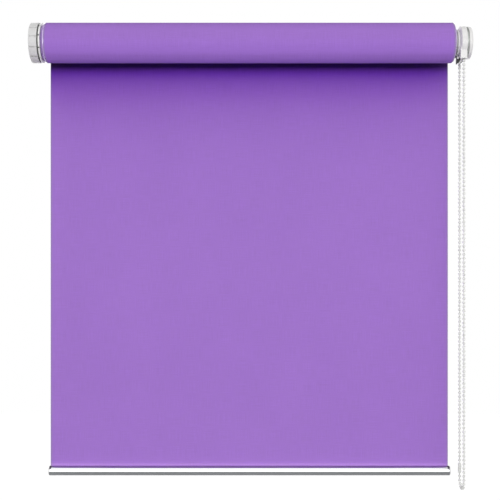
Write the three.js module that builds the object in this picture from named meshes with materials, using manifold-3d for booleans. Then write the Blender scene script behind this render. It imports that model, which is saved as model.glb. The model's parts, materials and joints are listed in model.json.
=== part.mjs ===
// A chain-operated roller blind held to a wall by two brackets. Millimetres, +Z up.
// The origin is on the wall, half way along the blind, level with the roller's axis.
// +X runs to the chain's end, +Y runs into the wall, and the blind's front faces -Y.
import * as THREE from 'three';
import { mergeVertices } from 'three/addons/utils/BufferGeometryUtils.js';
import Module from 'manifold-3d';

// Roller, fabric and drop
const fabricWidth = 400;
const fabricThickness = 0.5;
const dropToRail = 422.2;
const wallDistance = 27;
const tubeDiameter = 36;
const tubeWall = 1.2;
const wrapCount = 3;
const keyWidth = 3;
const keyHeight = 2;

// Clearances, and how far a cutting tool runs past the face that it cuts
const windGap = 0.1;
const fitGap = 0.3;
const runGap = 0.4;
const overrun = 2;

// Wall brackets
const plateThickness = 1.4;
const leftPlateInset = 2.4;
const rightPlateInset = 0.55;
const neckHalfHeight = 9;
const footWidth = 24;
const footTop = 19;
const footBottom = 13;
const slotWidth = 5.2;
const slotLength = 10;
const slotFromPlate = 12.5;
const upperSlotHeight = 11;
const lowerSlotHeight = -5;

// End covers
const leftCoverRadius = 19.6;
const leftCoverWidth = 8.5;
const leftCoverLap = 1.1;
const rightCoverInset = 0.35;
const rightCoverWidth = 3.4;
const coverWall = 1.5;
const coverEdge = 0.7;
const grooveWidth = 1.1;
const grooveDepth = 0.7;
const grooveStartShare = 2 / 3;
const pegRadius = 1.5;
const pegFromAxis = 10.5;

// Plugs in the tube
const rimRise = 1.4;
const leftRimWidth = 2.7;
const rightRimWidth = 1.7;
const rimGap = 0.2;
const leftRimLand = 0.7;
const rightRimLand = 0.4;
const rightTaperWidth = 0.8;
const taperDrop = 2.2;
const waistInset = 1.2;
const waistWidth = 0.4;
const flangeRise = 1;
const flangeWidth = 2;
const notchWidth = 1.3;
const notchDepth = 0.9;
const notchStartShare = 0.66;
const plugLength = 30;
const plugCoreRadius = 9.6;
const ribThickness = 2;
const keyForkWall = 1.6;

// Spring-loaded idle pin
const pinRadius = 3;
const pinReach = 4.4;
const pinTipEdge = 0.7;
const pinBearing = 0.08;
const pinCollarRadius = 5.1;
const pinCollarWidth = 1.6;
const chamberRadius = 5.5;
const chamberLength = 22;
const chamberWallWidth = 9;
const pinSpringWire = 1;
const pinSpringTurns = 8;
const plugCapWidth = 2.2;

// Clutch: fixed spindle, wrap springs and chain wheel
const hubRadius = 12.4;
const hubWidth = 3.4;
const hubNeckWidth = 1.6;
const hubNeckDrop = 1.3;
const housingWall = 4.15;
const housingWidth = 6.5;
const housingFace = 1.2;
const housingChamferReach = 1.3;
const housingChamferDrop = 2.4;
const bandCount = 3;
const bandGrooveWidth = 0.35;
const bandGrooveDepth = 0.2;
const cavityGap = 0.64;
const spindleRadius = 4;
const spindleSquare = 5.2;
const spindleTail = 1.2;
const spindleBearing = 0.08;
const springWire = 1.1;
const springTurns = 5;
const springPitch = 1.7;
const sleeveWall = 1.8;
const sleeveLength = 23;
const clipWidth = 0.8;
const clipRadius = 5.6;
const clipGrooveDepth = 1;
const clipSlot = 4.4;
const screwShankRadius = 0.8;
const screwHeadRadius = 1.5;
const screwHeadDepth = 0.9;
const screwDepth = 4;
const screwFromCavity = 1.7;

// Chain, and what guides it
const beadDiameter = 3;
const beadPitch = 3.95;
const pocketCount = 16;
const chainInset = 3.8;
const wheelFlangeWidth = 0.6;
const wheelFlangeRise = 1.1;
const channelHalfWidth = 2.1;
const chainSwingGap = 0.9;
const chainBendHeight = -430;
const connectorRadius = 2;
const connectorBore = 1.6;
const connectorLength = 10;
const connectorAboveBend = 13;
const lipInset = 0.5;
const lipThickness = 2.8;
const lipDrop = 4.3;
const lipSweep = 2.7;
const lipHalfDepth = 4;
const guideReach = 1.25;
const guideRise = 2.2;
const guardWall = 1.2;
const guardReach = 0.95;

// Bottom rail
const railHeight = 9.4;
const railDepth = 11;
const railOverhang = 0.6;
const railWall = 1.1;
const railSlot = 1.3;
const sheetInSlot = 0.8;
const capWidth = 1;
const capPlugLength = 6;
const hemRodRadius = 1.4;

// How finely round shapes are divided
const roundSides = 48;
const smallSides = 20;
const cordSides = 8;
const wireSides = 6;
const wireStepsPerTurn = 10;
const stepsPerSpan = 2;
const grooveCount = 12;
const notchCount = 10;
const ribCount = 8;

// Derived places along the roller's axis, measured outward from the middle
const fabricEnd = fabricWidth / 2;
const rimInner = fabricEnd + rimGap;
const leftRimOuter = rimInner + leftRimWidth;
const rightRimOuter = rimInner + rightRimWidth;
const flangeInner = leftRimOuter + waistWidth;
const flangeOuter = flangeInner + flangeWidth;
const leftPlateInner = flangeOuter + runGap;
const leftPlateOuter = leftPlateInner + plateThickness;
const leftCoverInner = leftPlateOuter + fitGap - leftCoverLap;
const leftCoverOuter = leftCoverInner + leftCoverWidth;
const plugInner = fabricEnd - plugLength;
const hubInner = rightRimOuter + fitGap;
const hubOuter = hubInner + hubWidth;
const housingInner = hubOuter + runGap;
const housingOuter = housingInner + housingWidth;
const rightPlateInner = housingOuter + fitGap;
const rightPlateOuter = rightPlateInner + plateThickness;
const rightCoverInner = rightPlateOuter + fitGap;
const rightCoverOuter = rightCoverInner + rightCoverWidth;
const chainPlane = housingInner + chainInset;

// Derived radii and depths
const tubeRadius = tubeDiameter / 2;
const tubeBore = tubeRadius - tubeWall;
const rollRadius = tubeRadius + windGap + wrapCount * fabricThickness;
const rimRadius = tubeRadius + rimRise;
const waistRadius = tubeBore - waistInset;
const flangeRadius = tubeRadius + flangeRise;
const leftPlateRadius = leftCoverRadius - leftPlateInset;
const axisY = -wallDistance;
const sheetFront = axisY + rollRadius + fitGap;
const sheetMiddle = sheetFront + fabricThickness / 2;
const railTop = -dropToRail;
const railMiddle = railTop - railHeight / 2;
const chainRadius = (pocketCount * beadPitch) / (2 * Math.PI);
const beadRadius = beadDiameter / 2;
const frontStrand = axisY - chainRadius;
const rearStrand = axisY + chainRadius;
const cavityRadius = chainRadius + beadRadius + cavityGap;
const housingRadius = cavityRadius + housingWall;
const rightPlateRadius = housingRadius - rightPlateInset;
const rightCoverRadius = housingRadius - rightCoverInset;
const chainExitDepth = housingRadius + lipDrop;

// Turn a three.js geometry into a closed solid whose faces point out.
const wasm = await Module();
wasm.setup();

function signedVolume(position, index) {
  const corner = [new THREE.Vector3(), new THREE.Vector3(), new THREE.Vector3()];
  let sum = 0;
  for (let i = 0; i < index.length; i += 3) {
    corner.forEach((point, k) => point.fromArray(position, 3 * index[i + k]));
    sum += corner[0].dot(corner[1].cross(corner[2]));
  }
  return sum;
}

function toSolid(geometry) {
  const bare = new THREE.BufferGeometry();
  bare.setAttribute('position', geometry.getAttribute('position').clone());
  bare.setIndex(geometry.index ? geometry.index.clone() : null);
  const merged = mergeVertices(bare);
  const position = merged.getAttribute('position').array;
  const found = merged.index.array;
  const triangles = [];
  for (let i = 0; i < found.length; i += 3) {
    const [a, b, c] = [found[i], found[i + 1], found[i + 2]];
    if (a !== b && b !== c && c !== a) triangles.push(a, b, c);
  }
  if (signedVolume(position, triangles) < 0) triangles.reverse();
  return new wasm.Manifold(new wasm.Mesh({
    numProp: 3,
    vertProperties: Float32Array.from(position),
    triVerts: Uint32Array.from(triangles),
  }));
}

function toGeometry(solid) {
  const mesh = solid.getMesh();
  const geometry = new THREE.BufferGeometry();
  geometry.setAttribute('position', new THREE.BufferAttribute(Float32Array.from(mesh.vertProperties), 3));
  geometry.setIndex(new THREE.BufferAttribute(Uint32Array.from(mesh.triVerts), 1));
  geometry.computeVertexNormals();
  return geometry;
}

const join = (first, ...others) => others.reduce((sum, other) => sum.add(other), first);
const cut = (body, ...tools) => tools.reduce((rest, tool) => rest.subtract(tool), body);

// Outlines and the ways to sweep them
const vectors = (pairs) => pairs.map(([u, v]) => new THREE.Vector2(u, v));
const outline = (pairs) => new THREE.Shape(vectors(pairs));

function ovalPoints(width, height, sides, u = 0, v = 0) {
  const points = [];
  for (let i = 0; i < sides; i += 1) {
    const angle = (2 * Math.PI * i) / sides;
    points.push([u + (width / 2) * Math.cos(angle), v + (height / 2) * Math.sin(angle)]);
  }
  return points;
}

const boxPoints = (u0, u1, v0, v1) => [[u0, v0], [u1, v0], [u1, v1], [u0, v1]];

// A shape drawn in Y and Z, swept along X from x0 to x1
function alongX(points, x0, x1) {
  const geometry = new THREE.ExtrudeGeometry(outline(points), { depth: x1 - x0, bevelEnabled: false });
  const axes = [new THREE.Vector3(0, 1, 0), new THREE.Vector3(0, 0, 1), new THREE.Vector3(1, 0, 0)];
  geometry.applyMatrix4(new THREE.Matrix4().makeBasis(...axes));
  return toSolid(geometry.translate(x0, 0, 0));
}

// A shape drawn in X and Z, swept along Y from y0 to y1
function alongY(points, y0, y1) {
  const geometry = new THREE.ExtrudeGeometry(outline(points), { depth: y1 - y0, bevelEnabled: false });
  return toSolid(geometry.rotateX(Math.PI / 2).translate(0, y1, 0));
}

// A profile of [place along X, radius] pairs turned about a line parallel to X, the roller's axis by default
function turned(profile, sides = roundSides, y = axisY, z = 0) {
  const geometry = new THREE.LatheGeometry(vectors(profile.map(([x, radius]) => [radius, x])), sides);
  return toSolid(geometry.rotateZ(-Math.PI / 2).translate(0, y, z));
}

const disc = (x0, x1, radius, ...rest) => turned([[x0, 0], [x0, radius], [x1, radius], [x1, 0]], ...rest);

function ring(x0, x1, inner, outer, ...rest) {
  return turned([[x0, inner], [x0, outer], [x1, outer], [x1, inner], [x0, inner]], ...rest);
}

// A box beside the axis, from one radius to another, turned about the roller's axis by an angle from +Y
function spoke(x0, x1, inner, outer, width, angle) {
  const geometry = new THREE.BoxGeometry(x1 - x0, outer - inner, width);
  geometry.translate((x0 + x1) / 2, (inner + outer) / 2, 0);
  return toSolid(geometry.rotateX(angle).translate(0, axisY, 0));
}

function spokes(count, startShare, ...size) {
  const step = (2 * Math.PI) / count;
  return Array.from({ length: count }, (_, i) => spoke(...size, (i + startShare) * step));
}

const upward = Math.PI / 2;

// A round wire or cord along a curve
function swept(curve, radius, sides, steps) {
  const section = outline(ovalPoints(2 * radius, 2 * radius, sides));
  return toSolid(new THREE.ExtrudeGeometry(section, { steps, extrudePath: curve, bevelEnabled: false }));
}

class Coil extends THREE.Curve {
  constructor(start, length, radius, turns) {
    super();
    Object.assign(this, { start, length, radius, turns });
  }

  getPoint(t, target = new THREE.Vector3()) {
    const angle = 2 * Math.PI * this.turns * t;
    const y = axisY + this.radius * Math.cos(angle);
    return target.set(this.start + this.length * t, y, this.radius * Math.sin(angle));
  }
}

// Finishes, each with its colour, roughness and metalness
function finish(color, roughness, metalness) {
  return new THREE.MeshStandardMaterial({ color, roughness, metalness });
}

const fabric = finish(0xa075cb, 0.85, 0);
const whitePlastic = finish(0xf1f1ef, 0.35, 0);
const greyPlastic = finish(0xb9bbb7, 0.45, 0);
const blackPlastic = finish(0x1c1c1a, 0.5, 0);
const steel = finish(0x8d8f92, 0.4, 1);
const aluminium = finish(0xcfd1d3, 0.35, 1);
const railMetal = finish(0xdcdde0, 0.25, 1);
const chainPlastic = finish(0xdfe0e2, 0.35, 0);

const blind = new THREE.Group();
blind.name = 'roller_blind';

function add(name, solid, material) {
  const mesh = new THREE.Mesh(toGeometry(solid), material);
  mesh.name = name;
  blind.add(mesh);
}

// A bracket: a plate across the axis, a neck back to the wall, and a foot on the wall with two screw slots.
// The side is -1 for the left bracket and 1 for the right one.
function bracket(side, plateInner, plateRadius, ...holes) {
  const plateOuter = plateInner + plateThickness;
  const [x0, x1] = side < 0 ? [-plateOuter, -plateInner] : [plateInner, plateOuter];
  const plate = disc(x0, x1, plateRadius);
  const neck = alongX(boxPoints(axisY, 0, -neckHalfHeight, neckHalfHeight), x0, x1);
  const footInner = plateOuter - footWidth;
  const [f0, f1] = side < 0 ? [-plateOuter, -footInner] : [footInner, plateOuter];
  const foot = alongY(boxPoints(f0, f1, -footBottom, footTop), -plateThickness, 0);
  const slotMiddle = side * (plateOuter - slotFromPlate);
  const slots = [upperSlotHeight, lowerSlotHeight].map((height) => {
    const straight = (slotLength - slotWidth) / 2;
    const rows = [height - slotWidth / 2, height + slotWidth / 2];
    const box = boxPoints(slotMiddle - straight, slotMiddle + straight, ...rows);
    const ends = [-straight, straight].map((shift) => {
      const round = ovalPoints(slotWidth, slotWidth, smallSides, slotMiddle + shift, height);
      return alongY(round, -plateThickness - overrun, overrun);
    });
    return join(alongY(box, -plateThickness - overrun, overrun), ...ends);
  });
  return cut(join(plate, neck, foot), ...slots, ...holes);
}

// Two pegs above and below the axis hold a cover to its plate.
const pegPlaces = [-pegFromAxis, pegFromAxis];

function pegs(x0, x1, radius) {
  return pegPlaces.map((z) => disc(x0, x1, radius, smallSides, axisY, z));
}

function leftBracket() {
  const x0 = -leftPlateOuter - overrun;
  const x1 = -leftPlateInner + overrun;
  const pinHole = disc(x0, x1, pinRadius + pinBearing, smallSides);
  return bracket(-1, leftPlateInner, leftPlateRadius, pinHole, ...pegs(x0, x1, pegRadius + fitGap));
}

// A cup-shaped cover from its open inner face to its rounded outer edge, with two pegs inside
function cover(side, inner, outer, radius, pegEnd) {
  const bore = radius - coverWall;
  const profile = [
    [side * (outer - coverWall), 0], [side * (outer - coverWall), bore], [side * inner, bore],
    [side * inner, radius], [side * (outer - coverEdge), radius], [side * outer, radius - coverEdge],
    [side * outer, 0],
  ];
  const pegRoot = outer - coverWall / 2;
  const [x0, x1] = side < 0 ? [-pegRoot, -pegEnd] : [pegEnd, pegRoot];
  return join(turned(profile), ...pegs(x0, x1, pegRadius));
}

function leftCover() {
  const body = cover(-1, leftCoverInner, leftCoverOuter, leftCoverRadius, leftPlateInner + fitGap);
  const x0 = -leftCoverOuter - overrun;
  const x1 = -leftCoverInner + overrun;
  const bottom = leftCoverRadius - grooveDepth;
  const top = leftCoverRadius + overrun;
  const grooves = spokes(grooveCount, grooveStartShare, x0, x1, bottom, top, grooveWidth);
  const neckRoom = neckHalfHeight + fitGap;
  const neckNotch = boxPoints(axisY, axisY + top, -neckRoom, neckRoom);
  return cut(body, ...grooves, alongX(neckNotch, -leftPlateOuter - fitGap, x1));
}

// The part of a plug inside the tube: a core with ribs, the top rib forked over the tube's key
function plugBody(side, coreRadius) {
  const [x0, x1] = side < 0 ? [-rimInner, -plugInner] : [plugInner, rimInner];
  const ribReach = tubeBore - fitGap;
  const ribs = spokes(ribCount, 0, x0, x1, coreRadius - ribThickness, tubeBore, ribThickness);
  const forkWidth = keyWidth + 2 * (fitGap + keyForkWall);
  const fork = spoke(x0, x1, coreRadius - ribThickness, tubeBore, forkWidth, upward);
  const keyBottom = tubeBore - keyHeight - fitGap;
  const slotEnds = side < 0 ? [-fabricEnd, x1 + overrun] : [x0 - overrun, fabricEnd];
  const keySlot = spoke(...slotEnds, keyBottom, tubeRadius, keyWidth + 2 * fitGap, upward);
  const ribbed = join(disc(x0, x1, coreRadius), ...ribs, fork).intersect(disc(x0, x1, ribReach));
  return cut(ribbed, keySlot);
}

// Places of the pin's chamber, from its outer wall inward
const chamberOuter = flangeOuter - chamberWallWidth;
const chamberInner = chamberOuter - chamberLength;
const plugCapRadius = chamberRadius - fitGap;

function idlePlug() {
  const taperEnd = rimRadius - taperDrop;
  const rims = turned([
    [-flangeOuter, 0], [-flangeOuter, flangeRadius], [-flangeInner, flangeRadius],
    [-flangeInner, waistRadius], [-leftRimOuter, waistRadius], [-leftRimOuter, taperEnd],
    [-rimInner - leftRimLand, rimRadius], [-rimInner, rimRadius], [-rimInner, 0],
  ]);
  const notchBottom = flangeRadius - notchDepth;
  const notches = spokes(
    notchCount, notchStartShare, -flangeOuter - overrun, -flangeInner, notchBottom,
    flangeRadius + overrun, notchWidth,
  );
  const pinBore = disc(-flangeOuter - overrun, -plugInner + overrun, pinRadius + pinBearing, smallSides);
  const chamber = disc(-chamberOuter, -plugInner + overrun, chamberRadius, smallSides);
  return cut(join(plugBody(-1, plugCoreRadius), rims), ...notches, pinBore, chamber);
}

function plugCap() {
  return ring(-chamberInner, -chamberInner + plugCapWidth, pinRadius + fitGap, plugCapRadius, smallSides);
}

// The pin reaches through the left plate. Its collar stops against the chamber's outer wall.
const pinTip = leftPlateOuter + pinReach;
const collarOuter = chamberOuter - fitGap;
const collarInner = collarOuter - pinCollarWidth;

function idlePin() {
  const tail = chamberInner + pinSpringWire;
  return turned([
    [-pinTip, 0], [-pinTip, pinRadius - pinTipEdge], [-pinTip + pinTipEdge, pinRadius],
    [-collarOuter, pinRadius], [-collarOuter, pinCollarRadius], [-collarInner, pinCollarRadius],
    [-collarInner, pinRadius], [-tail, pinRadius], [-tail, 0],
  ], smallSides);
}

function pinSpring() {
  const start = -collarInner + pinSpringWire / 2 + fitGap;
  const end = -chamberInner - pinSpringWire / 2 - fitGap;
  const radius = pinRadius + fitGap + pinSpringWire / 2;
  const coil = new Coil(start, end - start, radius, pinSpringTurns);
  return swept(coil, pinSpringWire / 2, wireSides, pinSpringTurns * wireStepsPerTurn);
}

function rollerTube() {
  const key = spoke(-fabricEnd, fabricEnd, tubeBore - keyHeight, tubeBore + tubeWall / 2, keyWidth, upward);
  return join(ring(-fabricEnd, fabricEnd, tubeBore, tubeRadius), key);
}

function fabricRoll() {
  return ring(-fabricEnd, fabricEnd, tubeRadius + windGap, rollRadius);
}

function fabricSheet() {
  const bottom = railTop - sheetInSlot;
  const points = boxPoints(sheetFront, sheetFront + fabricThickness, bottom, 0);
  return alongX(points, -fabricEnd, fabricEnd);
}

// The wheel's sleeve runs inboard over the two wrap springs, which grip the fixed spindle.
const springRadius = spindleRadius + fitGap + springWire / 2;
const springLength = springTurns * springPitch;
const sleeveBore = spindleRadius + 2 * fitGap + springWire;
const sleeveRadius = sleeveBore + sleeveWall;
const wheelHalf = beadRadius + fitGap + wheelFlangeWidth;
const wheelInner = chainPlane - wheelHalf;
const wheelOuter = chainPlane + wheelHalf;
const sleeveInner = wheelInner - sleeveLength;
const wheelFlangeRadius = chainRadius + wheelFlangeRise;

function drivePlug() {
  const taperStart = rimInner + rightRimLand;
  const rim = turned([
    [rimInner, 0], [rimInner, rimRadius], [taperStart, rimRadius],
    [taperStart + rightTaperWidth, rimRadius - taperDrop], [rightRimOuter, hubRadius], [rightRimOuter, 0],
  ]);
  const spindleHole = disc(plugInner - overrun, rightRimOuter, spindleRadius + fitGap, smallSides);
  const sleeveHole = disc(sleeveInner - runGap, rightRimOuter + overrun, sleeveRadius + fitGap);
  return cut(join(plugBody(1, plugCoreRadius + ribThickness), rim), spindleHole, sleeveHole);
}

// The grey hub is a ring with a spigot; the spigot's seat is cut into the plug's rim.
const spigotRadius = plugCoreRadius + ribThickness / 2;
const spigotLength = rightRimWidth;

function driveHub() {
  const neckRadius = hubRadius - hubNeckDrop;
  const neckOuter = hubInner + hubNeckWidth;
  return turned([
    [hubInner - spigotLength, sleeveRadius + fitGap], [hubInner - spigotLength, spigotRadius],
    [hubInner, spigotRadius], [hubInner, neckRadius], [neckOuter, neckRadius], [neckOuter, hubRadius],
    [hubOuter, hubRadius], [hubOuter, sleeveRadius + fitGap],
    [hubInner - spigotLength, sleeveRadius + fitGap],
  ]);
}

function spigotSeat() {
  return disc(hubInner - spigotLength - fitGap, rightRimOuter + overrun, spigotRadius + fitGap);
}

function chainWheel() {
  const groove = chainRadius - beadRadius - fitGap;
  const shoulder = beadRadius + fitGap;
  const wheel = turned([
    [sleeveInner, sleeveBore], [sleeveInner, sleeveRadius], [wheelInner, sleeveRadius],
    [wheelInner, wheelFlangeRadius], [chainPlane - shoulder, wheelFlangeRadius],
    [chainPlane - shoulder, groove], [chainPlane + shoulder, groove],
    [chainPlane + shoulder, wheelFlangeRadius], [wheelOuter, wheelFlangeRadius],
    [wheelOuter, spindleRadius + spindleBearing], [wheelInner, spindleRadius + spindleBearing],
    [wheelInner, sleeveBore], [sleeveInner, sleeveBore],
  ]);
  const pockets = Array.from({ length: pocketCount }, (_, i) => {
    const angle = (2 * Math.PI * i) / pocketCount;
    const y = axisY + wheelFlangeRadius * Math.cos(angle);
    const z = wheelFlangeRadius * Math.sin(angle);
    return disc(wheelInner - overrun / 2, wheelOuter + overrun / 2, beadRadius - fitGap, cordSides, y, z);
  });
  return cut(wheel, ...pockets);
}

function wrapSpring(index) {
  const room = springLength + springWire + fitGap;
  const start = sleeveInner + springWire + index * room;
  return swept(new Coil(start, springLength, springRadius, springTurns), springWire / 2, wireSides,
    springTurns * wireStepsPerTurn);
}

// The spindle is fixed: its square end stands in the right plate, and a clip holds the plug on its inner end.
const clipOuter = plugInner - fitGap;
const clipInner = clipOuter - clipWidth;
const spindleInner = clipInner - fitGap - clipWidth;
const clipGroove = spindleRadius - clipGrooveDepth;

function clutchSpindle() {
  const shoulder = rightPlateInner - fitGap;
  const round = turned([
    [spindleInner, 0], [spindleInner, spindleRadius], [clipInner - fitGap, spindleRadius],
    [clipInner - fitGap, clipGroove], [clipOuter + fitGap / 2, clipGroove],
    [clipOuter + fitGap / 2, spindleRadius], [shoulder, spindleRadius], [shoulder, 0],
  ], smallSides);
  const square = spindleSquare / 2;
  const tail = boxPoints(axisY - square, axisY + square, -square, square);
  return join(round, alongX(tail, shoulder - overrun, rightPlateOuter + spindleTail));
}

function spindleClip() {
  const mouth = alongX(
    boxPoints(axisY - clipSlot / 2, axisY + clipSlot / 2, 0, clipRadius + overrun),
    clipInner - overrun, clipOuter + overrun,
  );
  return cut(ring(clipInner, clipOuter, clipGroove + fitGap, clipRadius, smallSides), mouth);
}

// Two countersunk screws join the plate to the clutch housing, at equal angles above the front and the back.
const screwAngleShare = 0.2;
const screwFromAxis = cavityRadius + screwFromCavity;
const screwPlaces = [screwAngleShare, 1 - screwAngleShare].map((share) => [
  axisY + screwFromAxis * Math.cos(share * Math.PI),
  screwFromAxis * Math.sin(share * Math.PI),
]);

function clutchScrew([y, z]) {
  return turned([
    [rightPlateOuter, 0], [rightPlateOuter, screwHeadRadius],
    [rightPlateOuter - screwHeadDepth, screwShankRadius],
    [rightPlateInner - screwDepth, screwShankRadius], [rightPlateInner - screwDepth, 0],
  ], smallSides, y, z);
}

function screwHole([y, z]) {
  const wide = screwHeadRadius + fitGap;
  const narrow = screwShankRadius + fitGap / 2;
  return turned([
    [rightPlateOuter + overrun, 0], [rightPlateOuter + overrun, wide], [rightPlateOuter, wide],
    [rightPlateOuter - screwHeadDepth - fitGap / 2, narrow], [rightPlateInner - screwDepth - fitGap, narrow],
    [rightPlateInner - screwDepth - fitGap, 0],
  ], smallSides, y, z);
}

function rightBracket() {
  const x0 = rightPlateInner - overrun;
  const x1 = rightPlateOuter + overrun;
  const square = spindleSquare / 2 + pinBearing;
  const squareHole = alongX(boxPoints(axisY - square, axisY + square, -square, square), x0, x1);
  const holes = [squareHole, ...pegs(x0, x1, pegRadius + fitGap), ...screwPlaces.map(screwHole)];
  return bracket(1, rightPlateInner, rightPlateRadius, ...holes);
}

function rightCover() {
  return cover(1, rightCoverInner, rightCoverOuter, rightCoverRadius, rightPlateInner + fitGap);
}

// Outlet of the chain: a white lip under the housing sweeps down and inboard, and a black guide fills
// the space behind it. The curve runs from the housing's bottom, as shares of the lip's sweep and drop.
const lipCurveShares = [[0, 0], [0.1, 0.3], [0.32, 0.6], [0.62, 0.85], [1, 1]];
const lipRoot = chainPlane - beadRadius - lipInset;

function lipCurve(shift, drop) {
  return lipCurveShares.map(([across, down]) => [
    lipRoot + shift - lipSweep * across, -housingRadius - drop * down,
  ]);
}

function lip() {
  const buried = -housingRadius + coverWall;
  const near = lipCurve(0, lipDrop);
  const far = lipCurve(lipThickness, lipDrop).reverse();
  const points = [[lipRoot, buried], ...near, ...far, [lipRoot + lipThickness, buried]];
  return alongY(points, axisY - lipHalfDepth, axisY + lipHalfDepth);
}

// Shallow ring grooves divide the housing's outside into equal bands.
function bandGroove(index) {
  const x = housingInner + (housingWidth * index) / bandCount;
  const [x0, x1] = [x - bandGrooveWidth / 2, x + bandGrooveWidth / 2];
  const bottom = housingRadius - bandGrooveDepth;
  return [[x0, housingRadius], [x0, bottom], [x1, bottom], [x1, housingRadius]];
}

// A chute with a wall in front of the chain's front strand reaches below the round shell.
function clutchHousing() {
  const shell = turned([
    [housingInner, sleeveRadius + fitGap], [housingInner, housingRadius - housingChamferDrop],
    [housingInner + housingChamferReach, housingRadius], ...bandGroove(1), ...bandGroove(2),
    [housingOuter, housingRadius], [housingOuter, cavityRadius],
    [housingInner + housingFace, cavityRadius], [housingInner + housingFace, sleeveRadius + fitGap],
    [housingInner, sleeveRadius + fitGap],
  ]);
  const guardFront = frontStrand - channelHalfWidth - guardWall;
  const guardBottom = housingRadius + guardReach;
  const guard = cut(
    alongX(boxPoints(guardFront, frontStrand, -guardBottom, 0), housingInner, housingOuter),
    disc(housingInner + housingFace, housingOuter + overrun, cavityRadius),
  );
  const channels = [frontStrand, rearStrand].map((y) => {
    const across = boxPoints(
      chainPlane - channelHalfWidth, chainPlane + channelHalfWidth, -housingRadius - overrun, 0,
    );
    return alongY(across, y - channelHalfWidth, y + channelHalfWidth);
  });
  return cut(join(shell, lip(), guard), ...channels, ...screwPlaces.map(screwHole));
}

function chainGuide() {
  const top = -housingRadius - fitGap;
  const bottom = -housingRadius - lipDrop;
  const hookInner = housingInner - guideReach;
  const hookOuter = housingInner - fitGap;
  const curve = lipCurve(-fitGap, lipDrop).filter(([, z]) => z < top);
  const points = [
    [hookInner, top + guideRise], [hookInner, bottom], ...curve.reverse(), [lipRoot - fitGap, top],
    [hookOuter, top], [hookOuter, -hubRadius - runGap],
  ];
  return alongY(points, axisY - lipHalfDepth, axisY + lipHalfDepth);
}

// The chain's free loop hangs from the two outlets. Its points are [strand, height], front strand first;
// the strand is -1 at the front, 1 at the rear and between them in the bend.
const bendShares = [
  [-0.92, 0.38], [-0.71, 0.71], [-0.38, 0.92], [0, 1], [0.38, 0.92], [0.71, 0.71], [0.92, 0.38],
];
const strandHeights = [-30, -45, -70, -110, -160, -210, -260, -310, -360, -400, -420];

function loopRoute() {
  const start = -chainExitDepth - chainSwingGap;
  const down = [start, ...strandHeights, chainBendHeight];
  return [
    ...down.map((z) => [-1, z]),
    ...bendShares.map(([side, below]) => [side, chainBendHeight - chainRadius * below]),
    ...down.reverse().map((z) => [1, z]),
  ];
}

// A smooth curve through the points of a route, with the same few steps between every two points
class Route extends THREE.CatmullRomCurve3 {
  getUtoTmapping(u) {
    return u;
  }
}

const chainPoint = ([side, z]) => new THREE.Vector3(chainPlane, axisY + side * chainRadius, z);

function chainAlong(route) {
  const curve = new Route(route.map(chainPoint), false, 'centripetal');
  return swept(curve, beadRadius, cordSides, stepsPerSpan * (route.length - 1));
}

function beadChain() {
  return chainAlong(loopRoute());
}

// The run inside the housing: up the front, over the wheel, and down the back
function chainOnWheel() {
  const rise = -chainExitDepth;
  return chainAlong([
    ...[[-1, rise], [-1, rise / 2], [-1, 0]],
    ...bendShares.map(([side, above]) => [side, chainRadius * above]),
    ...[[1, 0], [1, rise / 2], [1, rise]],
  ]);
}

const connectorTop = chainBendHeight + connectorAboveBend;

function chainConnector() {
  const outer = ovalPoints(2 * connectorRadius, 2 * connectorRadius, smallSides);
  const bore = new THREE.Path(vectors(ovalPoints(2 * connectorBore, 2 * connectorBore, smallSides)));
  const section = outline(outer);
  section.holes.push(bore);
  const geometry = new THREE.ExtrudeGeometry(section, { depth: connectorLength, bevelEnabled: false });
  return toSolid(geometry.translate(chainPlane, rearStrand, connectorTop - connectorLength));
}

// The rail's section, drawn in by an inset on every side
function railSection(inset) {
  return ovalPoints(railDepth - 2 * inset, railHeight - 2 * inset, roundSides / 2, sheetMiddle, railMiddle);
}

const railEnd = fabricEnd + railOverhang;

function bottomRail() {
  const body = alongX(railSection(0), -railEnd, railEnd);
  const past = railEnd + overrun;
  const hollow = alongX(railSection(railWall), -past, past);
  const slotSides = [sheetMiddle - railSlot / 2, sheetMiddle + railSlot / 2];
  const slot = alongX(boxPoints(...slotSides, railMiddle, railTop + overrun), -past, past);
  return cut(body, hollow, slot);
}

function railCap(side) {
  const inner = railEnd + fitGap;
  const plugEnd = inner - capPlugLength;
  const [x0, x1] = side < 0 ? [-inner - capWidth, -inner] : [inner, inner + capWidth];
  const [p0, p1] = side < 0 ? [-inner - capWidth / 2, -plugEnd] : [plugEnd, inner + capWidth / 2];
  return join(alongX(railSection(0), x0, x1), alongX(railSection(railWall + fitGap), p0, p1));
}

function hemRod() {
  const end = railEnd - capPlugLength;
  const z = railTop - railWall - hemRodRadius - fitGap;
  return disc(-end, end, hemRodRadius, smallSides, sheetMiddle, z);
}

add('left_bracket', leftBracket(), steel);
add('left_cover', leftCover(), whitePlastic);
add('idle_plug', idlePlug(), whitePlastic);
add('idle_plug_cap', plugCap(), greyPlastic);
add('idle_pin', idlePin(), steel);
add('pin_spring', pinSpring(), steel);
add('roller_tube', rollerTube(), aluminium);
add('fabric_roll', fabricRoll(), fabric);
add('fabric_sheet', fabricSheet(), fabric);
add('drive_plug', cut(drivePlug(), spigotSeat()), whitePlastic);
add('drive_hub', driveHub(), greyPlastic);
add('chain_wheel', chainWheel(), greyPlastic);
add('wrap_spring_inner', wrapSpring(0), steel);
add('wrap_spring_outer', wrapSpring(1), steel);
add('clutch_spindle', clutchSpindle(), steel);
add('spindle_clip', spindleClip(), steel);
add('clutch_housing', clutchHousing(), whitePlastic);
add('chain_guide', chainGuide(), blackPlastic);
screwPlaces.forEach((place, i) => add(`clutch_screw_${i + 1}`, clutchScrew(place), steel));
add('right_bracket', rightBracket(), steel);
add('right_cover', rightCover(), whitePlastic);
add('chain_on_wheel', chainOnWheel(), chainPlastic);
add('bead_chain', beadChain(), chainPlastic);
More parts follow.
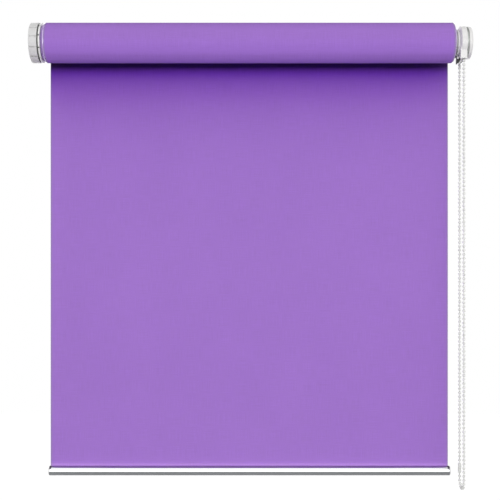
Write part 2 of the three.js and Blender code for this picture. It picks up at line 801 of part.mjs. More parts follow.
add('chain_connector', chainConnector(), chainPlastic);
add('bottom_rail', bottomRail(), railMetal);
add('rail_cap_left', railCap(-1), whitePlastic);
add('rail_cap_right', railCap(1), whitePlastic);
add('hem_rod', hemRod(), whitePlastic);

export default blind;
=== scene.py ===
# A small chain-operated roller blind: camera, chain, fabric, end pieces, rail, room and light.
# Lengths are in metres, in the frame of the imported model: +X to the chain's end, +Y into the wall, +Z up.
import json
import math

import bmesh
import bpy
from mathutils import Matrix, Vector

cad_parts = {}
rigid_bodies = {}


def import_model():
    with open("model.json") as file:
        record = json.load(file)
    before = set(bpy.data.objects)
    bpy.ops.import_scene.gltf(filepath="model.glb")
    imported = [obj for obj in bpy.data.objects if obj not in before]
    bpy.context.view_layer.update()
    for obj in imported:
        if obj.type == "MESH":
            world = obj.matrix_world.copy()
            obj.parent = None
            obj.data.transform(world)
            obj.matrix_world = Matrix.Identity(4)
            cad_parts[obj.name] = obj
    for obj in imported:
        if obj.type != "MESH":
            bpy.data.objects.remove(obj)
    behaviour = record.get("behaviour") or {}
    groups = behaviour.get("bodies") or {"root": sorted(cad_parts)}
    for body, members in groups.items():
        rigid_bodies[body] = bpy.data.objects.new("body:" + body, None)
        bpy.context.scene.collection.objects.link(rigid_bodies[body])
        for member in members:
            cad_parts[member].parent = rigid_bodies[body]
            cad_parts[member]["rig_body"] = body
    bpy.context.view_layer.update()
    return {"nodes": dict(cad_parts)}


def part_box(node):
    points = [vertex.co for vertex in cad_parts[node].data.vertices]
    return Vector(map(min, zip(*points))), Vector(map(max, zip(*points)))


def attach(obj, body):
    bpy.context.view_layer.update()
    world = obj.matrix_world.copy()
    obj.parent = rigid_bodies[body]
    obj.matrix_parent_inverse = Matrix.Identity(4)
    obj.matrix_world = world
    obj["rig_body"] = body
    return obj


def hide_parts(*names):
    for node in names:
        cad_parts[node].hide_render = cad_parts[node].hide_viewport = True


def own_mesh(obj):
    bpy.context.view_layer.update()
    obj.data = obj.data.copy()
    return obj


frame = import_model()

MM = 0.001
FULL_TURN = 2 * math.pi

# Camera: level, square to the wall and lower than the roller, as in the photograph
PHOTO_WIDTH_PIXELS = 500
FOCAL_LENGTH_PIXELS = 990
SENSOR_MM = 36
CAMERA_PLACE = Vector((0.54, -1005.5, -204.5)) * MM


def make_camera():
    data = bpy.data.cameras.new("camera")
    data.sensor_width = SENSOR_MM
    data.lens = SENSOR_MM * FOCAL_LENGTH_PIXELS / PHOTO_WIDTH_PIXELS
    data.clip_start = 10 * MM
    camera = bpy.data.objects.new("camera", data)
    camera.location = CAMERA_PLACE
    camera.rotation_euler = (math.pi / 2, 0, 0)
    bpy.context.scene.collection.objects.link(camera)
    bpy.context.scene.camera = camera


make_camera()

# Sizes read from the frame
roll_low, roll_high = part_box("fabric_roll")
sheet_low, sheet_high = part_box("fabric_sheet")
rail_low, rail_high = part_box("bottom_rail")
idle_plug_low, idle_plug_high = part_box("idle_plug")
drive_plug_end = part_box("drive_plug")[1].x
left_plate_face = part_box("left_bracket")[0].x
right_plate_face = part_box("right_bracket")[1].x
ROLL_RADIUS = (roll_high.z - roll_low.z) / 2
AXIS_Y = (roll_low.y + roll_high.y) / 2
HALF_WIDTH = roll_high.x
TUBE_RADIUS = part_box("roller_tube")[1].z


# Node trees, with the places of the colour sockets on a mix node
MIX_FIRST, MIX_SECOND, MIX_RESULT = 6, 7, 2


def linear(value):
    """One channel of an sRGB colour, from 0 to 255, as linear light."""
    share = value / 255
    return share / 12.92 if share <= 0.04045 else ((share + 0.055) / 1.055) ** 2.4


def colour(red, green, blue):
    return (linear(red), linear(green), linear(blue), 1.0)


def shade(tone, factor):
    return tuple(channel * factor for channel in tone[:3]) + (1.0,)


def put(tree, value, socket):
    if isinstance(value, bpy.types.NodeSocket):
        tree.links.new(value, socket)
    else:
        socket.default_value = value


def add_node(tree, kind, sockets, **settings):
    made = tree.nodes.new("ShaderNode" + kind)
    for key, value in settings.items():
        setattr(made, key, value)
    for key, value in sockets.items():
        put(tree, value, made.inputs[key])
    return made


def set_sockets(material, values):
    """Plain values on the shader's own sockets."""
    sockets = material.node_tree.nodes["Principled BSDF"].inputs
    for key, value in values.items():
        sockets[key].default_value = value


class Finish:
    """One material, with short calls for the nodes that the finishes share."""

    def __init__(self, name, roughness, metallic=0.0):
        self.material = bpy.data.materials.new(name)
        self.material.use_nodes = True
        self.tree = self.material.node_tree
        self.shader = self.tree.nodes["Principled BSDF"]
        set_sockets(self.material, {"Roughness": roughness, "Metallic": metallic})
        self.place = self.tree.nodes.new("ShaderNodeTexCoord").outputs["Object"]

    def node(self, kind, sockets, **settings):
        return add_node(self.tree, kind, sockets, **settings)

    def maths(self, operation, first, second=0.0):
        return self.node("Math", {0: first, 1: second}, operation=operation).outputs[0]

    def stretched(self, place, scale):
        return self.node("Mapping", {"Vector": place, "Scale": scale}).outputs[0]

    def noise(self, scale, detail=2.0, place=None):
        sockets = {"Vector": place or self.place, "Scale": scale, "Detail": detail}
        return self.node("TexNoise", sockets).outputs["Fac"]

    def spread(self, value, low, high, start=0.3, end=0.7):
        """A value that goes from low to high while the one put in goes from start to end."""
        sockets = {"Value": value, "From Min": start, "From Max": end, "To Min": low, "To Max": high}
        return self.node("MapRange", sockets).outputs["Result"]

    def blend(self, share, first, second):
        sockets = {0: share, MIX_FIRST: first, MIX_SECOND: second}
        return self.node("Mix", sockets, data_type="RGBA").outputs[MIX_RESULT]

    def set(self, **sockets):
        for key, value in sockets.items():
            put(self.tree, value, self.shader.inputs[key.replace("_", " ")])

    def bump(self, height, distance, strength):
        sockets = {"Height": height, "Distance": distance, "Strength": strength}
        self.set(Normal=self.node("Bump", sockets).outputs["Normal"])


# Fabric: a fine plain weave with slubs, laid flat or round the roller
FABRIC_COLOUR = colour(163, 119, 206)
# A greyer band at each side edge of the fabric is painted shade along the edges
EDGE_SHADE_COLOUR = colour(157, 129, 190)
EDGE_SHADE_FULL, EDGE_SHADE_WIDTH = 0.78 * MM, 1.69 * MM
WEAVE_PITCH = 0.55 * MM
WEAVE_HEIGHT, WEAVE_STRENGTH = 0.12 * MM, 0.5
SLUB_LENGTH_SCALE, SLUB_WIDTH_SCALE = 60, 2600
THREAD_RANGE, THREAD_TONES = (0.7, 1.3), (0.93, 1.06)
CLOUD_SCALE, CLOUD_TONES = 14.0, (0.985, 1.015)
FABRIC_ROUGHNESS = 0.86
FABRIC_SOCKETS = {"Sheen Weight": 0.05, "Sheen Roughness": 0.5, "Specular IOR Level": 0.08}


def fabric_finish(name, around_roller):
    finish = Finish(name, FABRIC_ROUGHNESS)
    parts = finish.node("SeparateXYZ", {0: finish.place}).outputs
    across, along = parts["X"], parts["Z"]
    if around_roller:
        depth = finish.maths("SUBTRACT", parts["Y"], AXIS_Y)
        turn = finish.maths("ARCTAN2", parts["Z"], depth)
        along = finish.maths("MULTIPLY", turn, ROLL_RADIUS)
    wave = math.pi / WEAVE_PITCH
    warp = finish.maths("SINE", finish.maths("MULTIPLY", across, wave))
    weft = finish.maths("SINE", finish.maths("MULTIPLY", along, wave))
    weave = finish.maths("MULTIPLY", warp, weft)
    cloth_place = finish.node("CombineXYZ", {0: across, 1: along}).outputs[0]
    slubs = finish.noise(1.0, 2.0, finish.stretched(cloth_place, (SLUB_LENGTH_SCALE, SLUB_WIDTH_SCALE, 1)))
    cross = finish.noise(1.0, 2.0, finish.stretched(cloth_place, (SLUB_WIDTH_SCALE, SLUB_LENGTH_SCALE, 1)))
    threads = finish.maths("ADD", slubs, cross)
    dark_thread, pale_thread = (shade(FABRIC_COLOUR, factor) for factor in THREAD_TONES)
    fine = finish.blend(finish.spread(threads, 0.0, 1.0, *THREAD_RANGE), dark_thread, pale_thread)
    clouds = finish.spread(finish.noise(CLOUD_SCALE, 3.0), *CLOUD_TONES)
    cloudy = finish.node("HueSaturation", {"Color": fine, "Value": clouds}).outputs[0]
    # Painted shade: the colour turns greyer over the last millimetres at each side edge
    inward = finish.maths("SUBTRACT", HALF_WIDTH, finish.maths("ABSOLUTE", across))
    edge_shade = finish.spread(inward, 1.0, 0.0, EDGE_SHADE_FULL, EDGE_SHADE_WIDTH)
    finish.set(Base_Color=finish.blend(edge_shade, cloudy, EDGE_SHADE_COLOUR))
    set_sockets(finish.material, FABRIC_SOCKETS)
    height = finish.maths("ADD", finish.maths("MULTIPLY", weave, 0.5), threads)
    finish.bump(height, WEAVE_HEIGHT, WEAVE_STRENGTH)
    return finish.material


# Hard finishes: the scales of their patterns, and how much the patterns change tone, roughness and relief
PLASTIC_CLOUDS, PLASTIC_SMUDGES, PLASTIC_GRAIN = 35.0, 180.0, 1600.0
ZINC_FLAKES, ZINC_SMUDGES, ZINC_GRAIN = 420.0, 260.0, 2200.0
DRAWN_LINES = (6.0, 2600.0, 2600.0)
PLASTIC_LOOK = {"darkest": 0.97, "smoother": 0.05, "rougher": 0.06, "strength": 0.6}
ZINC_LOOK = {"darkest": 0.82, "smoother": 0.08, "rougher": 0.1, "strength": 0.5, "height": 0.01 * MM}
DRAWN_LOOK = {"darkest": 0.93, "smoother": 0.04, "rougher": 0.05, "strength": 0.35, "height": 0.008 * MM}


def patterned(finish, tone, roughness, patterns, darkest, smoother, rougher, strength, height):
    """Tone, roughness and fine relief that follow three patterns. The tone's channels go from 0 to 255."""
    tones, smudges, grain = patterns
    tone = colour(*tone)
    finish.set(
        Base_Color=finish.blend(tones, shade(tone, darkest), tone),
        Roughness=finish.spread(smudges, roughness - smoother, roughness + rougher),
    )
    finish.bump(grain, height, strength)
    return finish.material


def plastic_finish(name, tone, roughness, grain_height=0.02 * MM):
    finish = Finish(name, roughness)
    clouds = finish.spread(finish.noise(PLASTIC_CLOUDS, 4.0), 0.0, 1.0)
    patterns = (clouds, finish.noise(PLASTIC_SMUDGES, 3.0), finish.noise(PLASTIC_GRAIN))
    return patterned(finish, tone, roughness, patterns, height=grain_height, **PLASTIC_LOOK)


def zinc_finish(name, tone, roughness):
    finish = Finish(name, roughness, 1.0)
    flakes = finish.node("TexVoronoi", {"Vector": finish.place, "Scale": ZINC_FLAKES}).outputs["Color"]
    patches = finish.spread(finish.node("SeparateXYZ", {0: flakes}).outputs["X"], 0.0, 1.0, 0.0, 1.0)
    patterns = (patches, finish.noise(ZINC_SMUDGES, 3.0), finish.noise(ZINC_GRAIN))
    return patterned(finish, tone, roughness, patterns, **ZINC_LOOK)


def drawn_metal_finish(name, tone, roughness):
    """Extruded or drawn along X: fine lines run along the length."""
    finish = Finish(name, roughness, 1.0)
    lines = finish.noise(1.0, 3.0, finish.stretched(finish.place, DRAWN_LINES))
    return patterned(finish, tone, roughness, (finish.spread(lines, 0.0, 1.0), lines, lines), **DRAWN_LOOK)


FLAT_FABRIC = fabric_finish("flat_fabric", False)
ROUND_FABRIC = fabric_finish("round_fabric", True)
WHITE = plastic_finish("white_plastic", (236, 236, 234), 0.3)
# The ribbed cover's plastic is the white plastic made darker: painted shade
SHADED_RIBBED = plastic_finish("shaded_ribbed_plastic", (217, 217, 216), 0.45, 0.05 * MM)
RING = plastic_finish("ring_plastic", (152, 114, 192), 0.25)
GREY = plastic_finish("grey_plastic", (226, 228, 224), 0.42)
# Grey for the rail's strips and the lip's liner: painted shade
SHADE_GREY = plastic_finish("shade_grey_plastic", (126, 130, 130), 0.45)
# Black for the notch marks and the chain guide: painted shade in the notches and inside the housing's mouth
SHADE_BLACK = plastic_finish("black_plastic", (30, 30, 28), 0.5)
# Dark purple for the hem stops: painted shade on the rail's top
SHADE_PURPLE = plastic_finish("shade_purple_plastic", (52, 38, 62), 0.5)
BEAD = plastic_finish("bead_plastic", (234, 236, 230), 0.3, 0.01 * MM)
ZINC = zinc_finish("zinc_plate", (142, 145, 142), 0.45)
# A darker copy of the zinc for the left plate: painted shade in its recess
SHADED_ZINC = zinc_finish("shaded_zinc_plate", (104, 108, 103), 0.55)
SPRING = zinc_finish("spring_wire", (120, 122, 126), 0.3)
TUBE_METAL = drawn_metal_finish("tube_aluminium", (205, 207, 210), 0.34)
RAIL_METAL = drawn_metal_finish("rail_aluminium", (203, 204, 207), 0.1)

# Light goes some way into the milky beads, and the rings beside the fabric are glossy
set_sockets(BEAD, {
    "Subsurface Weight": 0.5, "Subsurface Radius": (1, 1, 1), "Subsurface Scale": 1.5 * MM,
})
set_sockets(RING, {
    "Specular IOR Level": 1.0, "Coat Weight": 1.0, "Coat IOR": 2.0, "Coat Roughness": 0.12,
})

# Meshes. Edges stay sharp above an angle in degrees: PIECE_SHARP, where a piece has none of its own
PIECE_SHARP = 32
MERGE_DISTANCE = 0.001 * MM
FLAT_ANGLE = math.radians(0.5)
EDGE_ANGLE = math.radians(25)
CORNER_SHARE = 0.45
END_EDGE_MIDDLE = 0.3
WALL_DEPTH = 2 * MM


def make_piece(name, mesh_data, material, body, nodes=(), sharp=PIECE_SHARP):
    """An object from a bmesh or from vertices and faces. It rides on a body and may stand for CAD nodes."""
    mesh = bpy.data.meshes.new(name)
    shape = mesh_data
    if isinstance(shape, tuple):
        vertices, faces = shape
        mesh.from_pydata(vertices, [], faces)
        shape = bmesh.new()
        shape.from_mesh(mesh)
    bmesh.ops.recalc_face_normals(shape, faces=shape.faces)
    shape.to_mesh(mesh)
    shape.free()
    smooth(mesh, sharp)
    mesh.materials.append(material)
    piece = bpy.data.objects.new(name, mesh)
    bpy.context.scene.collection.objects.link(piece)
    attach(piece, body)
    if nodes:
        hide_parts(*nodes)
    return piece


def smooth(mesh, sharp):
    """Smooth shading, with edges that stay sharp above an angle."""
    mesh.polygons.foreach_set("use_smooth", [True] * len(mesh.polygons))
    mesh.set_sharp_from_angle(angle=math.radians(sharp))


def rounded(corners, radius, steps=3, closed=True):
    """A polygon with each corner replaced by a small arc; a corner may give its own radius third."""
    points = []
    count = len(corners)
    for i, corner in enumerate(corners):
        here = Vector(corner[:2])
        size = corner[2] if len(corner) > 2 else radius
        if size == 0 or (not closed and i in (0, count - 1)):
            points.append(tuple(here))
            continue
        before = Vector(corners[i - 1][:2]) - here
        after = Vector(corners[(i + 1) % count][:2]) - here
        reach = min(size, CORNER_SHARE * before.length, CORNER_SHARE * after.length)
        start, end = here + before.normalized() * reach, here + after.normalized() * reach
        for k in range(steps + 1):
            t = k / steps
            points.append(tuple(start * (1 - t) ** 2 + here * 2 * t * (1 - t) + end * t * t))
    return points


def grid_faces(rows, columns, close_rows=False, close_columns=False):
    faces = []
    for i in range(rows if close_rows else rows - 1):
        for j in range(columns if close_columns else columns - 1):
            a, b = i, (i + 1) % rows
            c, d = j, (j + 1) % columns
            faces.append((a * columns + c, b * columns + c, b * columns + d, a * columns + d))
    return faces


def tube_faces(rows, columns):
    """A grid that is closed round its columns, with one face over its first row and one over its last."""
    last = (rows - 1) * columns
    ends = [tuple(range(columns)), tuple(range(last, last + columns))]
    return grid_faces(rows, columns, False, True) + ends


def circle(sides):
    """Cosine and sine of even angles."""
    return [(math.cos(FULL_TURN * i / sides), math.sin(FULL_TURN * i / sides)) for i in range(sides)]


def around(x, radius, angle):
    """A point at a distance from the roller's axis; the angle starts at the back and rises over the top."""
    return (x, AXIS_Y + radius * math.cos(angle), radius * math.sin(angle))


def turned(profile, angles=128, warp=None, centre_z=0.0):
    """A profile of (x, radius) pairs turned about the roller's axis, or a line above or below it. A profile
    that doesn't start on the axis is a closed ring. warp(angle, x, radius) gives a vertex's own x, radius."""
    if isinstance(angles, int):
        angles = [FULL_TURN * i / angles for i in range(angles)]
    closed = profile[0][1] > 0
    vertices = []
    for angle in angles:
        for x, radius in profile:
            place = warp(angle, x, radius) if warp else (x, radius)
            vertices.append(Vector(around(*place, angle)) + Vector((0, 0, centre_z)))
    shape = bmesh.new()
    made = [shape.verts.new(v) for v in vertices]
    for face in grid_faces(len(angles), len(profile), True, closed):
        shape.faces.new([made[k] for k in face])
    if not closed:
        bmesh.ops.remove_doubles(shape, verts=shape.verts, dist=MERGE_DISTANCE)
    return shape


def swept_outline(outline, x0, x1, edge=0.0):
    """A closed outline of (y, z) pairs swept along X, with flat ends whose edges are rounded a little."""
    count = len(outline)
    middle = Vector((sum(p[0] for p in outline) / count, sum(p[1] for p in outline) / count))
    rows = [(x0, 0.0), (x1, 0.0)]
    if edge:
        between = END_EDGE_MIDDLE * edge
        rows = [(x0, edge), (x0 + between, between), (x0 + edge, 0.0)]
        rows += [(x1 - edge, 0.0), (x1 - between, between), (x1, edge)]
    vertices = []
    for x, inset in rows:
        for y, z in outline:
            out = Vector((y, z)) - middle
            y_in, z_in = middle + out * (1 - inset / max(out.length, edge or 1.0))
            vertices.append((x, y_in, z_in))
    return vertices, tube_faces(len(rows), count)


def merged(parts):
    vertices, faces = [], []
    for more_vertices, more_faces in parts:
        shift = len(vertices)
        vertices.extend(more_vertices)
        faces.extend(tuple(k + shift for k in face) for face in more_faces)
    return vertices, faces


def cad_shape(node):
    """A copy of a CAD node's mesh, with its faces joined."""
    shape = bmesh.new()
    shape.from_mesh(frame["nodes"][node].data)
    bmesh.ops.remove_doubles(shape, verts=shape.verts, dist=MERGE_DISTANCE)
    return shape


def join_flat_faces(shape):
    bmesh.ops.dissolve_limit(shape, angle_limit=FLAT_ANGLE, verts=shape.verts, edges=shape.edges)


def softened(node, name, material, width, foot_bottom=None):
    """A CAD node's shape with rounded edges. What stands at the wall ends at the foot's bottom, if given."""
    shape = cad_shape(node)
    join_flat_faces(shape)
    if foot_bottom:
        for vertex in shape.verts:
            if vertex.co.y > -WALL_DEPTH:
                vertex.co.z = max(vertex.co.z, foot_bottom)
    edges = [e for e in shape.edges if len(e.link_faces) == 2 and e.calc_face_angle() > EDGE_ANGLE]
    bmesh.ops.bevel(
        shape, geom=edges, offset=width, segments=2, profile=0.5, affect="EDGES", clamp_overlap=True,
    )
    make_piece(name, shape, material, frame["nodes"][node]["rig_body"], [node])


# Bead chain: the hanging loop's points, as strand (-1 front, 1 rear) and height, then the run over the wheel
BEAD_DIAMETER = 3 * MM
BEAD_PITCH = 3.95 * MM
BEAD_STRETCH = 0.97
BEAD_SHARP = 60
STRING_DIAMETER = 0.9 * MM
POCKETS = 16
CHAIN_RADIUS = POCKETS * BEAD_PITCH / FULL_TURN
chain_low, chain_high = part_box("bead_chain")
CHAIN_X = (chain_low.x + chain_high.x) / 2
CHAIN_START = chain_high.z
CHAIN_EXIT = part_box("chain_on_wheel")[0].z
BEND_HEIGHT = -430 * MM
STRAND_HEIGHTS_MM = [-30, -45, -70, -110, -160, -210, -260, -310, -360, -400, -420]
BEND_SHARES = [(-0.92, 0.38), (-0.71, 0.71), (-0.38, 0.92), (0, 1), (0.38, 0.92), (0.71, 0.71), (0.92, 0.38)]


def chain_point(side, z):
    return Vector((CHAIN_X, AXIS_Y + side * CHAIN_RADIUS, z))


def chain_route(heights, bend_height, way):
    """Along one strand, round a bend that lies below (-1) or above (1) a height, and back on the other."""
    bend = [chain_point(side, bend_height + way * CHAIN_RADIUS * away) for side, away in BEND_SHARES]
    return [chain_point(-1, z) for z in heights] + bend + [chain_point(1, z) for z in reversed(heights)]


def smooth_line(route, steps=8):
    """A Catmull-Rom line through a route's points."""
    line = []
    for i in range(len(route) - 1):
        before = route[max(i - 1, 0)]
        start, end = route[i], route[i + 1]
        after = route[min(i + 2, len(route) - 1)]
        span = (end - start).length
        into = (end - before).normalized() * span
        out = (after - start).normalized() * span
        for k in range(steps):
            t = k / steps
            line.append(
                start * (2 * t**3 - 3 * t**2 + 1) + into * (t**3 - 2 * t**2 + t)
                + end * (3 * t**2 - 2 * t**3) + out * (t**3 - t**2)
            )
    return line + [route[-1]]


def spaced(line, pitch, start):
    """Points at an even pitch along a line, from a distance along it."""
    found, walked, wanted = [], 0.0, start
    for a, b in zip(line, line[1:]):
        length = (b - a).length
        while length and walked + length >= wanted:
            found.append(a.lerp(b, (wanted - walked) / length))
            wanted += pitch
        walked += length
    return found


def ball(centre, radius, stretch=1.0, rings=8, sides=14):
    vertices = [(centre[0], centre[1], centre[2] + radius * stretch)]
    for i in range(1, rings):
        polar = math.pi * i / rings
        flat, high = radius * math.sin(polar), radius * stretch * math.cos(polar)
        vertices += [(centre[0] + flat * c, centre[1] + flat * s, centre[2] + high) for c, s in circle(sides)]
    vertices.append((centre[0], centre[1], centre[2] - radius * stretch))
    faces, last = [], len(vertices) - 1
    for j in range(1, sides + 1):
        k = j % sides + 1
        faces += [(0, j, k), (last, last - sides - 1 + k, last - sides - 1 + j)]
        for row in range(0, (rings - 2) * sides, sides):
            faces.append((row + j, row + sides + j, row + sides + k, row + k))
    return vertices, faces


def string_tube(line, radius, sides=8):
    """A round string along a line that lies in a plane across X."""
    vertices = []
    for i, point in enumerate(line):
        ahead = (line[min(i + 1, len(line) - 1)] - line[max(i - 1, 0)]).normalized()
        side = Vector((1, 0, 0))
        other = ahead.cross(side)
        vertices += [tuple(point + (side * c + other * s) * radius) for c, s in circle(sides)]
    return vertices, tube_faces(len(line), sides)


def beads_on_string(line):
    beads = spaced(line, BEAD_PITCH, BEAD_DIAMETER / 2)
    parts = [string_tube(line, STRING_DIAMETER / 2)]
    return merged(parts + [ball(centre, BEAD_DIAMETER / 2, BEAD_STRETCH) for centre in beads])


CLIP_INSET = 0.4 * MM
CLIP_BORE = 0.8 * MM
CLIP_CORNER = 0.5 * MM
CLIP_WAIST, CLIP_WAIST_REACH = 0.86, 0.15
CLIP_SEAM = 0.12 * MM
CLIP_SEAM_FROM = 1.2 * CLIP_BORE
CLIP_SIDES = 48


def chain_clip_mesh():
    """A clip of two half shells: a barrel with a waist, a seam and rounded ends."""
    low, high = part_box("chain_connector")
    middle = (low + high) / 2
    half = (high.z - low.z) / 2
    radius = (high.x - low.x) / 2 - CLIP_INSET
    outline = rounded([
        (CLIP_BORE, -half), (radius, -half), (radius, -CLIP_WAIST_REACH * half), (CLIP_WAIST * radius, 0.0),
        (radius, CLIP_WAIST_REACH * half), (radius, half), (CLIP_BORE, half),
    ], CLIP_CORNER, 5)
    vertices = []
    for i, (c, s) in enumerate(circle(CLIP_SIDES)):
        seam = CLIP_SEAM if i in (0, CLIP_SIDES // 2) else 0.0
        for r, z in outline:
            r_here = r - seam if r > CLIP_SEAM_FROM else r
            vertices.append((middle.x + r_here * c, middle.y + r_here * s, middle.z + z))
    return vertices, grid_faces(CLIP_SIDES, len(outline), True, True)


loop_heights = [CHAIN_START] + [z * MM for z in STRAND_HEIGHTS_MM] + [BEND_HEIGHT]
loop_line = smooth_line(chain_route(loop_heights, BEND_HEIGHT, -1))
wheel_line = smooth_line(chain_route([CHAIN_EXIT, CHAIN_EXIT / 2, 0.0], 0.0, 1))
chain_clip = make_piece(
    "chain_clip", chain_clip_mesh(), BEAD, "chain", ["chain_connector"],
)
hanging_chain = make_piece(
    "hanging_beads", beads_on_string(loop_line), BEAD, "chain", ["bead_chain"], BEAD_SHARP,
)
make_piece(
    "wheel_beads", beads_on_string(wheel_line), BEAD, "root", ["chain_on_wheel"], BEAD_SHARP,
)

# Wound fabric: one whole outer wrap, and a spiral inside it that shows at the roll's ends
FABRIC_THICKNESS = sheet_high.y - sheet_low.y
WRAP_GAP = 0.07 * MM
WRAP_COLUMNS, WRAP_ROWS = 24, 160
EDGE_WIDTH = 1.1 * MM
EDGE_DROP = 0.35 * MM
EDGE_SHARES = (0.25, 0.45, 0.6, 0.72, 0.82, 0.9, 0.96, 1)
RIPPLE_DEPTH = 0.05 * MM
RIPPLE_ACROSS, RIPPLE_WANDER, RIPPLE_ROUND = 31, 1.3, 2
SPIRAL_TURNS, SPIRAL_STEPS = 2.0, 180
SPIRAL_START = 0.1 * MM
SPIRAL_RISE_SHARE = 0.97
SPIRAL_CLOTH_SHARE = 0.8
SPIRAL_INSET = 0.35 * MM
# How far a wrap's edge wanders, how fast with the angle, and from where
EDGE_DRIFTS = [(0.12 * MM, 1.7, 0), (0.1 * MM, 0.6, 1)]


def sagging(x, angle):
    """How far the outer wrap lies below its full radius: faint ripples, and an edge that rounds off."""
    wander = RIPPLE_WANDER * math.sin(RIPPLE_ROUND * angle)
    ripple = 0.5 + 0.5 * math.sin(RIPPLE_ACROSS * x / HALF_WIDTH + wander)
    end = max(0.0, abs(x) - HALF_WIDTH + EDGE_WIDTH) / EDGE_WIDTH
    return RIPPLE_DEPTH * ripple + EDGE_DROP * end ** 3


def cloth_band(rows):
    """A thick band of cloth round the roller, from rows of left, right, inner, outer and angle."""
    vertices = []
    for left, right, inner, outer, angle in rows:
        vertices += [around(left, inner, angle), around(left, outer, angle)]
        vertices += [around(right, outer, angle), around(right, inner, angle)]
    return vertices, tube_faces(len(rows), 4)


def outer_wrap():
    inner = ROLL_RADIUS - FABRIC_THICKNESS + WRAP_GAP
    reach = HALF_WIDTH - EDGE_WIDTH
    xs = [reach * (2 * i / WRAP_COLUMNS - 1) for i in range(WRAP_COLUMNS + 1)]
    edge = [reach + EDGE_WIDTH * share for share in EDGE_SHARES]
    xs = [-x for x in reversed(edge)] + xs + edge
    profile = [(x, ROLL_RADIUS) for x in xs] + [(x, inner - EDGE_DROP) for x in reversed(xs)]

    def warp(angle, x, radius):
        return x, radius - (sagging(x, angle) if radius == ROLL_RADIUS else 0.0)

    return turned(profile, WRAP_ROWS, warp)


def inner_wraps():
    """The spiral of cloth under the outer wrap, with each wrap's edge a little out of line."""
    limit = ROLL_RADIUS - FABRIC_THICKNESS - EDGE_DROP
    rise = (limit - TUBE_RADIUS) / SPIRAL_TURNS
    thickness = (rise - WRAP_GAP) * SPIRAL_CLOTH_SHARE
    rows = []
    for i in range(SPIRAL_STEPS + 1):
        turns = SPIRAL_TURNS * i / SPIRAL_STEPS
        angle = FULL_TURN * turns
        radius = TUBE_RADIUS + SPIRAL_START + rise * turns * SPIRAL_RISE_SHARE
        drift = sum(reach * math.sin(rate * angle + start) for reach, rate, start in EDGE_DRIFTS)
        left, right = -HALF_WIDTH + SPIRAL_INSET + drift, HALF_WIDTH - SPIRAL_INSET + drift
        rows.append((left, right, radius, min(radius + thickness, limit), angle))
    return cloth_band(rows)


roll = make_piece("wound_fabric", outer_wrap(), ROUND_FABRIC, "roller", ["fabric_roll"])
make_piece("inner_wraps", inner_wraps(), ROUND_FABRIC, "roller")

# Hanging sheet: it leaves the roll at the back, and its hem goes into the rail
CLOTH_SHARP = 50
SHEET_OVERHANG = 0.42 * MM
SHEET_LEFT = -HALF_WIDTH - SHEET_OVERHANG
SHEET_WIDTH = HALF_WIDTH - SHEET_LEFT
SHEET_LENGTH = -sheet_low.z
SHEET_COLUMNS, SHEET_ROWS = 140, 140
rail_top = rail_high.z
HEM_HEIGHT = 3.2 * MM
HEM_TUCK = 0.4 * MM
HEM_BULGE = 0.95 * MM
HEM_CURVE = 1.6
HEM_SHARES = [0.85, 0.7, 0.55, 0.42, 0.3, 0.2, HEM_TUCK / HEM_HEIGHT, 0.06, 0.0]
# Faint waves, in radians across half the sheet and down it; the short ones wander as they go down
WAVE_HEIGHT = 0.22 * MM
LONG_ACROSS, LONG_SLANT, LONG_DOWN = 5.1, 1.9, 3.3
SHORT_HEIGHT, SHORT_ACROSS, SHORT_WANDER, SHORT_DOWN = 0.35, 17, 2, 4
# How fast the waves grow below the roll and fade above the rail, and the curl of the side edges
WAVES_START, WAVES_END = 6, 8
CURL_HEIGHT, CURL_SHARE = 0.8, 0.04


def sheet_offset(x, z):
    """How far the sheet's middle lies in front of a flat plane: faint waves that die out at both ends."""
    drop = -z / SHEET_LENGTH
    side = x / HALF_WIDTH
    calm = min(1.0, WAVES_START * drop) * min(1.0, WAVES_END * (1 - drop))
    long_wave = math.sin(LONG_ACROSS * side + LONG_SLANT * drop) * math.cos(LONG_DOWN * drop)
    wander = SHORT_WANDER * math.sin(SHORT_DOWN * drop)
    short_wave = SHORT_HEIGHT * math.sin(SHORT_ACROSS * side + wander)
    curl = CURL_HEIGHT * max(0.0, abs(side) - 1 + CURL_SHARE) / CURL_SHARE
    return WAVE_HEIGHT * calm * (long_wave + short_wave + curl)


def hem_bulge(above_rail):
    """The hem swells forward towards the rail, and tucks into the slot just above it."""
    if not 0 < above_rail < HEM_HEIGHT:
        return 0.0
    if above_rail < HEM_TUCK:
        return HEM_BULGE * above_rail / HEM_TUCK
    share = (HEM_HEIGHT - above_rail) / (HEM_HEIGHT - HEM_TUCK)
    return HEM_BULGE * share ** HEM_CURVE


def sheet_mesh():
    """The front and the back of the cloth, joined all round by its edge. Its rows are closer at the hem."""
    heights = [(rail_top + HEM_HEIGHT) * i / SHEET_ROWS for i in range(SHEET_ROWS + 1)]
    heights += [rail_top + HEM_HEIGHT * share for share in HEM_SHARES] + [sheet_low.z]
    rows, columns = len(heights), SHEET_COLUMNS + 1
    middle = (sheet_low.y + sheet_high.y) / 2
    half = FABRIC_THICKNESS / 2
    front, back = [], []
    for z in heights:
        bulge = hem_bulge(z - rail_top)
        for j in range(columns):
            x = SHEET_LEFT + SHEET_WIDTH * j / SHEET_COLUMNS
            y = middle - sheet_offset(x, z)
            front.append((x, y - half - bulge, z))
            back.append((x, y + half, z))
    shift = len(front)
    near = grid_faces(rows, columns)
    far = [tuple(k + shift for k in reversed(face)) for face in near]
    rim = list(range(columns))
    rim += [i * columns + columns - 1 for i in range(1, rows)]
    rim += [(rows - 1) * columns + j for j in range(columns - 2, -1, -1)]
    rim += [i * columns for i in range(rows - 2, 0, -1)]
    edge = [(a, b, b + shift, a + shift) for a, b in zip(rim, rim[1:] + rim[:1])]
    return front + back, near + far + edge


LEAVING_SWEEP = math.radians(112)
LEAVING_STEPS = 48
LEAVING_GAP, LEAVING_SKIN = 0.02 * MM, 0.03 * MM


